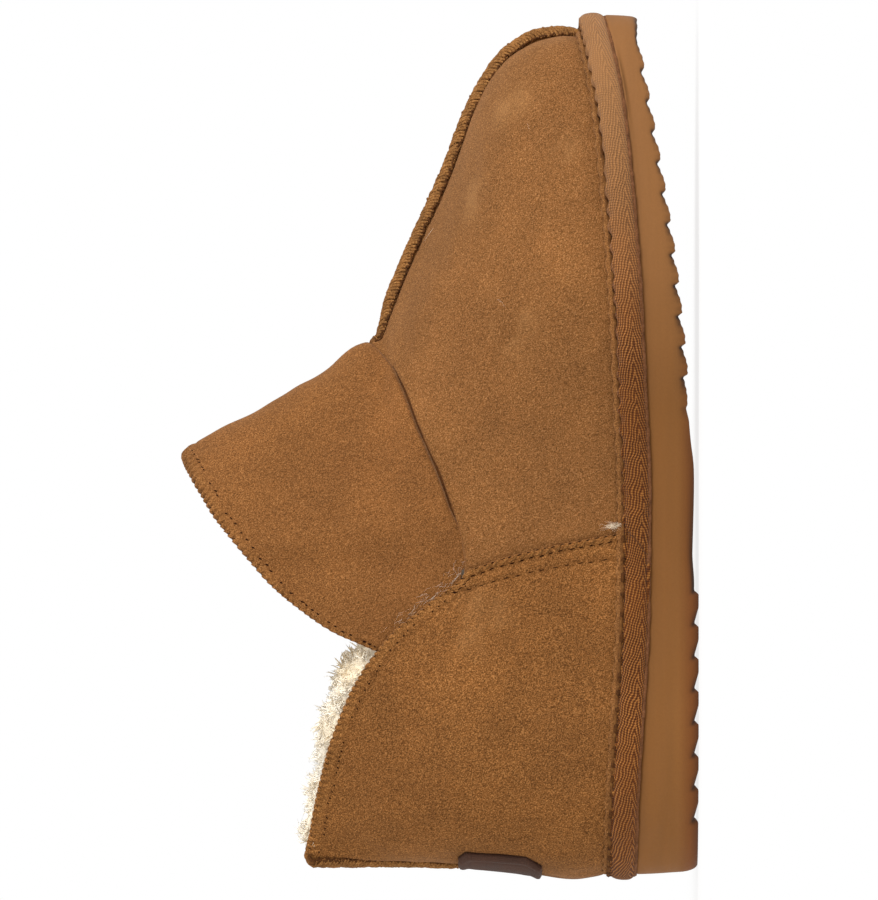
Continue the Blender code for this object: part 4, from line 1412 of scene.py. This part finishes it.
def build_raised_seam(name, node, path, width, height):
    """The butted edges of two panels under overlock: a core painted dark as shade, slanting threads laid
    close together, a lighter strand that crosses them, and dark dashes of painted shade on both sides."""
    lengths = run(path[0])
    rng = np.random.default_rng(len(name))
    across = np.concatenate((np.linspace(-0.5, 0.5, 15), (0.0,)))
    place = np.linspace(0, lengths[-1], int(lengths[-1] / 0.4))
    grid_place, grid_across = np.meshgrid(place, across, indexing="ij")
    core = seam_point(path, grid_place, grid_across, -0.3, width * 0.92, height)
    core[:, -1] = seam_point(path, place, 0.0 * place, -5.2, width, height)
    core = np.concatenate((core, core[:, :1]), axis=1)
    finished(name + "_core", close_up(grid_mesh(core)), material("core"), "overlock_thread", node)
    q = np.linspace(-0.445, 0.445, 11)
    layers = (
        # piece, pitch, slant, radius, lift
        ("threads", size("seam_pitch"), 6.4, 0.6 * size("thread"), 0.0),
        ("strands", 2.6 * size("seam_pitch"), 2.0, 0.24 * size("thread"), 0.34),
    )
    for piece, pitch, slant, radius, lift in layers:
        bars = np.arange(0.5 * slant, lengths[-1] - 0.2 * slant, pitch)
        bars = bars + rng.normal(0, 0.1, len(bars))
        lifts = lift + rng.normal(0, 0.09, (len(bars), 1)) - 0.3 * np.isin(np.arange(11), (0, 10))
        places = bars[:, None] + slant * q + rng.normal(0, 0.06, (len(bars), 11))
        places = np.clip(places, 0.05, lengths[-1] - 0.05)
        points = seam_point(path, places, np.broadcast_to(q, places.shape), lifts, width, height)
        lines_mesh(f"{name}_{piece}", points, radius, material("thread"), "overlock_thread")
    shade_marks = []
    for side in (-1, 1):
        for start in np.arange(1.0, lengths[-1] - 2.0, 1.9):
            steps = start + rng.normal(0, 0.2) + np.linspace(0, 1.7, 5)
            drift = side * (MARK_ACROSS + rng.normal(0, 0.012, 5))
            shade_marks.append(seam_point(path, steps, drift, 0.42, width, height))
    lines_mesh(name + "_marks", shade_marks, 0.45, material("gutter"), "overlock_thread", taper=0.3)


def build_toe_seam():
    start = float(foot_height(0.0, 0.0)) + 7.8
    end = float(upper_top(0.0, VAMP_WALL[0])) + 4.2
    path = line_path(0.0, start, end, lambda z: VAMP_WALL[0] - 0.5 - 0.63 * ridge(z))
    height = ((0.0, 1.4), (0.1, SEAM_HEIGHT), (0.87, SEAM_HEIGHT), (0.97, 1.2), (1.0, 0.8))
    build_raised_seam("toe_seam_stitching", "toe_seam", path, SEAM_WIDTH, height)


def build_heel_seam():
    end = float(upper_top(180.0, QUARTER_WALL[0])) + 0.3
    path = line_path(180.0, LABEL_TOP - 1.0, end, lambda z: QUARTER_WALL[0] - 0.1)
    height = ((0.0, 1.1), (0.96, HEEL_SEAM_HEIGHT), (1.0, 1.2))
    build_raised_seam("heel_seam_stitching", "heel_seam", path, HEEL_SEAM_WIDTH, height)


def build_label():
    """A bare leather tab at the heel, its edges turned under so that they stand as a soft rim."""
    across, up = np.linspace(-1, 1, 71), np.linspace(0, 1, 45)
    share, rise = np.meshgrid(across, up, indexing="ij")
    half = mix(LABEL_HALF_BOTTOM, LABEL_HALF_TOP, rise)
    tall = LABEL_TOP - LABEL_BOTTOM
    corner = LABEL_CORNER * np.maximum(0.0, np.abs(share) - 0.74) / 0.26 / tall
    top = 1 - 0.45 * corner
    rise = mix(corner, top, rise)
    edge = np.minimum((1 - np.abs(share)) * 20.0, np.minimum(rise - corner, top - rise) * tall)
    rim = 0.35 * bell(edge - 1.4, 1.1) - 0.12 * bell(edge - 3.4, 0.9) + 1.1 * rounded_edge(edge, 0.8)
    z = mix(LABEL_BOTTOM, LABEL_TOP, rise)
    face = surface(180.0 + share * half, z, QUARTER_WALL[0] - LABEL_PROUD - rim)
    under = surface(180.0 + share[:, ::-1] * half[:, ::-1], z[:, ::-1], QUARTER_WALL[0] - 0.25)
    section = np.concatenate((face, under, face[:, :1]), axis=1)
    made = close_up(grid_mesh(section))
    finished("heel_label_leather", made, material("label"), "label_leather", "heel_label")


# Pile

FLEECE_ROLL = np.array((
    # step, across, lift
    (0, 0, 0), (1, 0.1, 0.55), (2, 0.34, 0.95), (3, 0.62, 0.85), (4, 0.88, 0.38), (5, 1, 0.25),
))
COLLAR_THICKNESS, FOOT_THICKNESS = 14.0, 6.0
LINING_OUTSIDE, LINING_AT_LAP = 3.2, 4.3
LINING_DROP = 11.5
FOOTBED_THICKNESS = 5.0
SINGLE_FIBRES = (
    # angle, height, how far out of the last
    (-16.0, 80.0, 2.3), (-34.0, 50.0, 0.4), (24.0, 74.0, 1.6), (-58.0, 60.0, 0.4), (40.0, 48.0, 0.4),
)
PILE = {}


def fleece_depth(angle):
    """Outer side of the lining, which passes behind the tucked ends of the cuff."""
    away = np.abs(angle)
    beside_vamp = mix(LINING_OUTSIDE, LINING_AT_LAP, ease(away, 50.0, 76.0))
    return mix(beside_vamp, QUARTER_WALL[1] + 1.2, ease(away, CUFF_END_ANGLE + 4.0, 130.0))


def fleece_thickness(z):
    return mix(FOOT_THICKNESS, COLLAR_THICKNESS, ease(z, 52.0, 84.0))


def fleece_top(angle):
    """Top of the lining's outer side: just under the cuff's edge, and showing over the quarters'."""
    along = surface(angle, 100.0, 0.0)[..., 1]
    over_cuff = read(CUFF_EDGE, along) - LINING_DROP
    swell = 1.6 * ease(along, 198.0, 207.0) - 4.0 * ease(along, 204.0, 238.0)
    over_quarter = read(UPPER_EDGE, along) - 0.6 + swell
    rear = mix(over_cuff, over_quarter, ease(along, 181.0, 196.0))
    return np.where(np.abs(angle) < 90.0, cuff_top(angle, LINING_OUTSIDE) - LINING_DROP, rear)


def clumps(points, width, seed):
    """Rounded tufts of wool: 0 in the partings and 1 on the crowns."""
    flat = points.reshape(-1, 3) / width + 7.31 * seed
    found = [solid_noise.voronoi(Vector(point))[0][:2] for point in flat]
    near, next_near = np.array(found).T
    return np.clip((next_near - near) * 1.6, 0.0, 1.0).reshape(points.shape[:-1]) ** 0.6


def with_tones(made, **values):
    """Gives a mesh the values that the shearling's material reads, the same all over."""
    for name, value in values.items():
        layer = made.verts.layers.float.new(name)
        for vertex in made.verts:
            vertex[layer] = value
    return made


def build_lining():
    """Shearling lining: a thick roll round the collar that thins down to the foot, in soft tufts."""
    angles = even_angles(lambda a: surface(a, fleece_top(a), 5.0), -180.0, 180.0, 1.25)
    outer = fleece_depth(angles)
    bottom = foot_height(angles, outer, 5.6)
    bend = upper_top(angles, outer) - 1.0
    top = fleece_top(angles)
    column, deep = angles[:, None], outer[:, None]
    outer_z = np.concatenate((
        rows_between(bottom, bend, np.linspace(0, 1, 8)), rows_between(bend, top, np.linspace(0, 1, 6)[1:])
    ), axis=1)
    outside = surface(column, outer_z, deep)
    steps = np.linspace(0, 5, 16)[1:]
    across, lift = read(FLEECE_ROLL, steps), read(FLEECE_ROLL, steps, 2)
    half = 0.5 * COLLAR_THICKNESS
    roll_z = top[:, None] + half * (lift - across)
    roll = surface(column, roll_z, deep + across * fleece_thickness(roll_z))
    inner_z = rows_between(roll_z[:, -1], bottom, np.linspace(0, 1, 42)[1:])
    inside = surface(column, inner_z, deep + fleece_thickness(inner_z))
    closed = ring_of(np.concatenate((outside, roll, inside), axis=1))
    out = unit(np.cross(np.gradient(closed, axis=0), np.gradient(closed, axis=1)))
    out[-1] = out[0] = unit(out[0] + out[-1])
    first = outside.shape[1]
    free = np.zeros(closed.shape[1])
    free[first - 3:first + 2] = np.linspace(0.0, 1.0, 5)
    free[first + 2:-3] = 1.0
    tufts = 2.0 * clumps(closed, 8.0, 1) + 0.8 * clumps(closed, 3.6, 2) - 1.7 + 0.6 * ripple(closed, 51, 14.0)
    closed = closed + out * (tufts * free[None, :])[..., None]
    closed[-1] = closed[0]
    PILE["collar"] = (closed, out, first)
    made = with_tones(close_up(grid_mesh(closed)), tip=0.35, tone=0.45)
    finished("shearling_lining", made, material("shearling"), "shearling", "fleece_lining")


def build_insole():
    """Footbed covered in the same pile, trodden down in the middle."""
    depth = VAMP_WALL[1] + 0.6
    angles = np.linspace(3.0, 177.0, 120)
    foot = foot_height(angles, depth)
    left, right = surface(-angles, foot, depth), surface(angles, foot, depth)
    shares = np.linspace(0, 1, 40)
    top = left[:, None] + (right - left)[:, None] * shares[None, :, None]
    edge = np.minimum(shares, 1 - shares) * np.linalg.norm(right - left, axis=-1)[:, None]
    tufts = 0.8 * (clumps(top, 5.0, 3) - 0.8) * ease(edge, 0.0, 4.0)
    top[..., 2] += FOOTBED_THICKNESS + rounded_edge(edge, 2.0) + tufts
    PILE["footbed"] = (top, np.broadcast_to((0.0, 0.0, 1.0), top.shape), 0)
    under = np.stack((right, left), axis=1)
    section = np.concatenate((top, under, top[:, :1]), axis=1)
    made = with_tones(close_up(grid_mesh(section)), tip=0.3, tone=0.4)
    finished("shearling_footbed", made, material("shearling"), "shearling", "insole")


def scattered(area, first_row, last_row, count, seed):
    """Seeded places on part of a grid of points, evenly by area, with the grid's normals there."""
    points, normals, _ = PILE[area]
    last_row = last_row or points.shape[1]
    part, facing_out = points[:, first_row:last_row], normals[:, first_row:last_row]
    rng = np.random.default_rng(seed)
    across = part[1:, :-1] - part[:-1, :-1]
    along = part[:-1, 1:] - part[:-1, :-1]
    cells = np.linalg.norm(np.cross(across, along), axis=-1).ravel()
    chosen = rng.choice(len(cells), count, p=cells / cells.sum())
    i, j = np.divmod(chosen, part.shape[1] - 1)
    a, b = rng.random((2, count, 1))
    spots = []
    for grid in (part, facing_out):
        near = mix(grid[i, j], grid[i + 1, j], a)
        spots.append(mix(near, mix(grid[i, j + 1], grid[i + 1, j + 1], a), b))
    return spots[0], unit(spots[1]), rng


def lock_mesh(name, roots, middles, tips, thick, tone, low_tip=0.25, kind="shearling"):
    """Locks of wool, each a bent, tapered spike of three sides; arrays hold one row a lock."""
    count = len(roots)
    axis = unit(tips - roots)
    side = unit(np.cross(axis, (0.31, 0.52, 0.79)))
    other = np.cross(axis, side)
    rings = []
    for centre, width in ((roots, 1.0), (middles, 0.8)):
        for turn in (0.0, 2 * math.pi / 3, 4 * math.pi / 3):
            ray = side * math.cos(turn) + other * math.sin(turn)
            rings.append(centre + ray * (thick * width)[:, None])
    points = np.stack(rings + [tips], axis=1)
    pattern = (
        (0, 1, 4), (0, 4, 3), (1, 2, 5), (1, 5, 4), (2, 0, 3), (2, 3, 5), (3, 4, 6), (4, 5, 6), (5, 3, 6),
        (0, 2, 1),
    )
    faces = (np.arange(count)[:, None, None] * 7 + np.array(pattern)).reshape(-1, 3)
    mesh = bpy.data.meshes.new(name)
    mesh.from_pydata(in_frame(points.reshape(-1, 3)).tolist(), [], faces.tolist())
    share = np.tile((low_tip,) * 3 + (0.75,) * 3 + (1.0,), count)
    for key, values in (("tip", share), ("tone", np.repeat(tone, 7))):
        mesh.attributes.new(key, "FLOAT", "POINT").data.foreach_set("value", values.astype(np.float32))
    return finished(name, mesh, material(kind), "shearling")


def kept_inside(points):
    """Points of the wool, moved in where they would stand in the cuff or the quarters."""
    across, along, z = points[:, 0], points[:, 1], points[:, 2]
    front, rear = ring_ends(z, 3.0)
    lap = read(LAP_LINE, z)
    turn = (lap - along) / np.where(along < lap, lap - front, rear - lap)
    angle = np.degrees(np.arccos(np.clip(turn, -1.0, 1.0)))
    angle = np.where(across < read(PLAN, along, 3), -angle, angle)
    out = facing(angle, z, 3.0)
    depth = 3.0 - ((points - surface(angle, z, 3.0)) * out).sum(axis=-1)
    behind_cuff = (np.abs(angle) < CUFF_END_ANGLE + 2.0) & (z < cuff_top(angle, LINING_OUTSIDE) + 0.4)
    wall = np.where(behind_cuff, cuff_depths(angle)[1], QUARTER_WALL[1]) + 0.5
    moved = points - out * np.maximum(0.0, wall - depth)[:, None]
    limit = np.where(np.abs(angle) < 97.0, cuff_top(angle, LINING_OUTSIDE) - 2.6, 1e3)
    moved[:, 2] = np.minimum(moved[:, 2], limit)
    return moved


def wool(name, area, rows, count, long, thick, seed):
    """Curled locks over an area: neighbours lean together, so that they part into tufts."""
    roots, out, rng = scattered(area, rows[0], rows[1], count, seed)
    lean, drift, curl = (
        np.stack([ripple(roots, seed + first + k, width) for k in range(3)], axis=-1)
        for first, width in ((1, 4.6), (4, 13.0), (7, 2.4))
    )
    heading = unit(0.4 * out + 1.0 * lean + 0.8 * drift + 0.15 * rng.normal(size=out.shape))
    length = long * rng.uniform(0.65, 1.1, (count, 1))
    roots = roots - 0.5 * out
    middles = roots + length * (0.45 * heading + 0.2 * out + 0.2 * curl)
    tips = roots + length * (0.85 * heading - 0.12 * out + 0.3 * curl + 0.08 * rng.normal(size=out.shape))
    if area == "collar":
        roots, middles, tips = kept_inside(roots), kept_inside(middles), kept_inside(tips)
    tone = np.clip(0.5 + 0.25 * ripple(roots, seed + 10, 5.0) + 0.15 * rng.normal(size=count), 0.0, 1.0)
    return lock_mesh(name, roots, middles, tips, thick * rng.uniform(0.7, 1.2, count), tone)


def build_pile():
    """The wool itself: thick round the collar, shorter down the foot and trodden on the footbed."""
    count, long = bpy.context.scene.slipper_sizes.locks, size("pile")
    first = PILE["collar"][2]
    wool("collar_wool_long", "collar", (first - 4, first + 16), count, long, 0.28, 100)
    wool("collar_wool_fine", "collar", (first - 4, first + 24), count, 0.75 * long, 0.17, 140)
    wool("collar_wool_outer", "collar", (first - 9, first - 2), count // 5, 0.9 * long, 0.28, 170)
    wool("inner_wool", "collar", (first + 14, None), count // 2, 0.75 * long, 0.34, 200)
    wool("footbed_wool", "footbed", (0, None), count // 3, 0.6 * long, 0.32, 300)


def strands(line, count, long, spread, seed, lift):
    """Loose fibres strewn along a line of (points, outward directions)."""
    rng = np.random.default_rng(seed)
    points, out = line
    at = rng.uniform(0, len(points) - 1.001, count)
    i = at.astype(int)
    base = mix(points[i], points[i + 1], (at - i)[:, None])
    away = out[i]
    tangent = unit(points[i + 1] - points[i])
    heading = unit(tangent * rng.choice((-1.0, 1.0), (count, 1)) + 0.35 * rng.normal(size=(count, 3)))
    heading -= away * (heading * away).sum(axis=-1, keepdims=True)
    length = long * rng.uniform(0.4, 1.1, (count, 1))
    beside = 1 - np.abs(away)
    roots = base + spread * rng.normal(size=(count, 3)) * beside + away * 0.1
    bend = 0.12 * length * rng.normal(size=(count, 3)) * beside
    middles = roots + heading * length * 0.5 + away * lift + bend
    return roots, middles, roots + heading * length + away * 0.5 * lift


def build_stray_wool():
    """Fibres that creep out over the cuff along the quarters' edges, a tuft at the foot of each lap
    and a few single ones on the vamp."""
    parts = []
    for side, seed in ((-1, 11), (1, 12)):
        angles = np.linspace(90.0, 101.0, 40) * side
        edge = upper_top(angles, CUFF_WALL_REAR[0])
        line = surface(angles, edge + 1.2, CUFF_WALL_REAR[0] - 0.05), facing(angles, edge, 0.0)
        parts.append(strands(line, 90, 4.0, 1.5, seed, 0.2))
        z = np.linspace(24.5, 27.5, 12)
        line = surface(89.0 * side, z, -1.4), facing(89.0 * side, z, 0.0)
        parts.append(strands(line, 110, 3.0, 0.45, seed + 4, 0.6))
    for n, (angle, height, proud) in enumerate(SINGLE_FIBRES):
        spot = np.array((angle, angle + 3.0)), np.array((height, height + 2.0))
        line = surface(*spot, -proud), facing(*spot, 0.0)
        parts.append(strands(line, 1, 7.0, 0.2, 30 + n, 0.3))
    roots, middles, tips = (np.concatenate([part[k] for part in parts]) for k in range(3))
    rng = np.random.default_rng(40)
    thick, tone = rng.uniform(0.012, 0.026, len(roots)), rng.uniform(0.2, 0.8, len(roots))
    lock_mesh("stray_wool", roots, middles, tips, thick, tone, 0.8, "stray_wool")


# Stage

VIEW_HEIGHT = 0.2748
VIEW_SHIFT = 0.0011
LENS, SENSOR = 800.0, 36.0
FLOOR_RADIUS = 12.0
SOFT_LIGHT = (1.0, 0.985, 0.955, 1.0)


def build_stage():
    """Pale floor that melts into an even, pale room, soft lamps at the toe side and the camera."""
    made = bmesh.new()
    bmesh.ops.create_circle(made, cap_ends=True, segments=96, radius=FLOOR_RADIUS)
    mesh = bpy.data.meshes.new("studio_floor")
    made.to_mesh(mesh)
    made.free()
    mesh.materials.append(material("floor"))
    floor = bpy.data.objects.new("studio_floor", mesh)
    bpy.context.scene.collection.objects.link(floor)
    floor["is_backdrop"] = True
    world = bpy.data.worlds.new("studio")
    bpy.context.scene.world = world
    world.use_nodes = True
    tree = world.node_tree
    seen = tree.nodes["Background"]
    seen.inputs["Color"].default_value = rgba(ROOM_TONE)
    soft = add(tree, "Background", Color=SOFT_LIGHT, Strength=0.44)
    in_view = add(tree, "LightPath").outputs["Is Camera Ray"]
    mixed = add(tree, "MixShader", i0=in_view, i1=soft.outputs[0], i2=seen.outputs[0])
    add_surface(tree, "World Output", mixed)
    low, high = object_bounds()
    middle = 0.5 * (low + high)
    lamps = (
        # name, towards the lamp, distance, width, watts, tint
        ("toe_softbox", (-0.72, -1.0, 0.42), 1.3, 0.9, 17.5, (0.98, 1.0, 1.05)),
        ("side_softbox", (-1.0, 0.15, 0.35), 1.6, 1.2, 0.8, (1.0, 1.0, 1.0)),
        ("heel_softbox", (-0.4, 1.0, 0.15), 1.6, 1.2, 11.5, (1.0, 0.99, 0.95)),
        ("top_softbox", (-0.45, -0.1, 1.0), 1.5, 1.1, 8.0, (1.0, 1.0, 1.01)),
        ("far_softbox", (1.0, 0.2, 0.9), 1.6, 1.2, 5.0, (1.0, 1.0, 1.0)),
    )
    for name, towards, distance, width, watts, tint in lamps:
        lamp = bpy.data.lights.new(name, "AREA")
        lamp.color = tint
        lamp.energy = watts
        lamp.size = width
        holder = bpy.data.objects.new(name, lamp)
        direction = Vector(towards).normalized()
        holder.location = middle + direction * distance
        holder.rotation_euler = direction.to_track_quat("Z", "Y").to_euler()
        bpy.context.scene.collection.objects.link(holder)
    lens = bpy.data.cameras.new("camera")
    lens.lens = LENS
    lens.sensor_width = SENSOR
    lens.clip_end = 30.0
    camera = bpy.data.objects.new("camera", lens)
    right, up, back = Vector((0, 0, -1)), Vector((0, -1, 0)), Vector((-1, 0, 0))
    distance = VIEW_HEIGHT * LENS / SENSOR
    camera.matrix_world = Matrix((
        (right.x, up.x, back.x, middle.x - distance),
        (right.y, up.y, back.y, middle.y + VIEW_SHIFT),
        (right.z, up.z, back.z, middle.z),
        (0.0, 0.0, 0.0, 1.0),
    ))
    bpy.context.scene.collection.objects.link(camera)
    bpy.context.scene.camera = camera
    bpy.context.scene.view_settings.view_transform = "Standard"


class SLIPPER_OT_outsole(bpy.types.Operator):
    """Moulded foam sole with saw-toothed ribs"""

    bl_idname = "slipper.outsole"
    bl_label = "Outsole"

    def execute(self, context):
        build_outsole()
        return {"FINISHED"}


class SLIPPER_OT_rand(bpy.types.Operator):
    """Rolled twill tape round the foot of the upper"""

    bl_idname = "slipper.rand"
    bl_label = "Rand"

    def execute(self, context):
        build_rand()
        return {"FINISHED"}


class SLIPPER_OT_vamp(bpy.types.Operator):
    """The two suede halves over the toes"""

    bl_idname = "slipper.vamp"
    bl_label = "Vamp"

    def execute(self, context):
        for side, tag in SIDES:
            build_vamp(side, "vamp_" + tag)
        return {"FINISHED"}


class SLIPPER_OT_quarters(bpy.types.Operator):
    """The two suede heel quarters, lapped over the vamp"""

    bl_idname = "slipper.quarters"
    bl_label = "Quarters"

    def execute(self, context):
        for side, tag in SIDES:
            build_quarter(side, "quarter_" + tag)
        return {"FINISHED"}


class SLIPPER_OT_cuff(bpy.types.Operator):
    """The tall suede collar piece in front of the ankle"""

    bl_idname = "slipper.cuff"
    bl_label = "Cuff"

    def execute(self, context):
        build_cuff()
        build_throat_allowance()
        return {"FINISHED"}


class SLIPPER_OT_edge_stitches(bpy.types.Operator):
    """Overlock over the top edges"""

    bl_idname = "slipper.edge_stitches"
    bl_label = "Edge stitches"

    def execute(self, context):
        build_edge_stitches()
        return {"FINISHED"}


class SLIPPER_OT_lap_stitches(bpy.types.Operator):
    """Rows of stitching on the lap of the quarters"""

    bl_idname = "slipper.lap_stitches"
    bl_label = "Lap stitches"

    def execute(self, context):
        build_lap_stitches()
        return {"FINISHED"}


class SLIPPER_OT_raised_seams(bpy.types.Operator):
    """Raised overlocked seams down the toe and the heel"""

    bl_idname = "slipper.raised_seams"
    bl_label = "Raised seams"

    def execute(self, context):
        build_toe_seam()
        build_heel_seam()
        return {"FINISHED"}


class SLIPPER_OT_label(bpy.types.Operator):
    """Bare leather tab at the heel"""

    bl_idname = "slipper.label"
    bl_label = "Heel label"

    def execute(self, context):
        build_label()
        return {"FINISHED"}


class SLIPPER_OT_lining(bpy.types.Operator):
    """Shearling lining and footbed"""

    bl_idname = "slipper.lining"
    bl_label = "Lining"

    def execute(self, context):
        build_lining()
        build_insole()
        return {"FINISHED"}


class SLIPPER_OT_wool(bpy.types.Operator):
    """Locks of wool on the lining and stray fibres on the suede"""

    bl_idname = "slipper.wool"
    bl_label = "Wool"

    def execute(self, context):
        build_pile()
        build_stray_wool()
        return {"FINISHED"}


class SLIPPER_OT_stage(bpy.types.Operator):
    """Floor, lamps and camera"""

    bl_idname = "slipper.stage"
    bl_label = "Stage"

    def execute(self, context):
        build_stage()
        return {"FINISHED"}


OPERATORS = (
    SLIPPER_OT_outsole,
    SLIPPER_OT_rand,
    SLIPPER_OT_vamp,
    SLIPPER_OT_quarters,
    SLIPPER_OT_cuff,
    SLIPPER_OT_edge_stitches,
    SLIPPER_OT_lap_stitches,
    SLIPPER_OT_raised_seams,
    SLIPPER_OT_label,
    SLIPPER_OT_lining,
    SLIPPER_OT_wool,
    SLIPPER_OT_stage,
)


class SLIPPER_PT_panel(bpy.types.Panel):
    """Sizes, colours and pieces of the slipper"""

    bl_idname = "SLIPPER_PT_panel"
    bl_label = "Suede Slipper"
    bl_space_type = "VIEW_3D"
    bl_region_type = "UI"
    bl_category = "Slipper"

    def draw(self, context):
        for group in (context.scene.slipper_sizes, context.scene.slipper_colours):
            box = self.layout.box()
            for key in group.__annotations__:
                box.prop(group, key)
        for kind in OPERATORS:
            self.layout.operator(kind.bl_idname)


CLASSES = (SlipperSizes, SlipperColours, *OPERATORS, SLIPPER_PT_panel)


def register():
    for kind in CLASSES:
        bpy.utils.register_class(kind)
    bpy.types.Scene.slipper_sizes = PointerProperty(type=SlipperSizes)
    bpy.types.Scene.slipper_colours = PointerProperty(type=SlipperColours)


def unregister():
    del bpy.types.Scene.slipper_colours
    del bpy.types.Scene.slipper_sizes
    for kind in reversed(CLASSES):
        bpy.utils.unregister_class(kind)


def main():
    register()
    for kind in OPERATORS:
        family, name = kind.bl_idname.split(".")
        getattr(getattr(bpy.ops, family), name)()


if __name__ == "__main__":
    main()
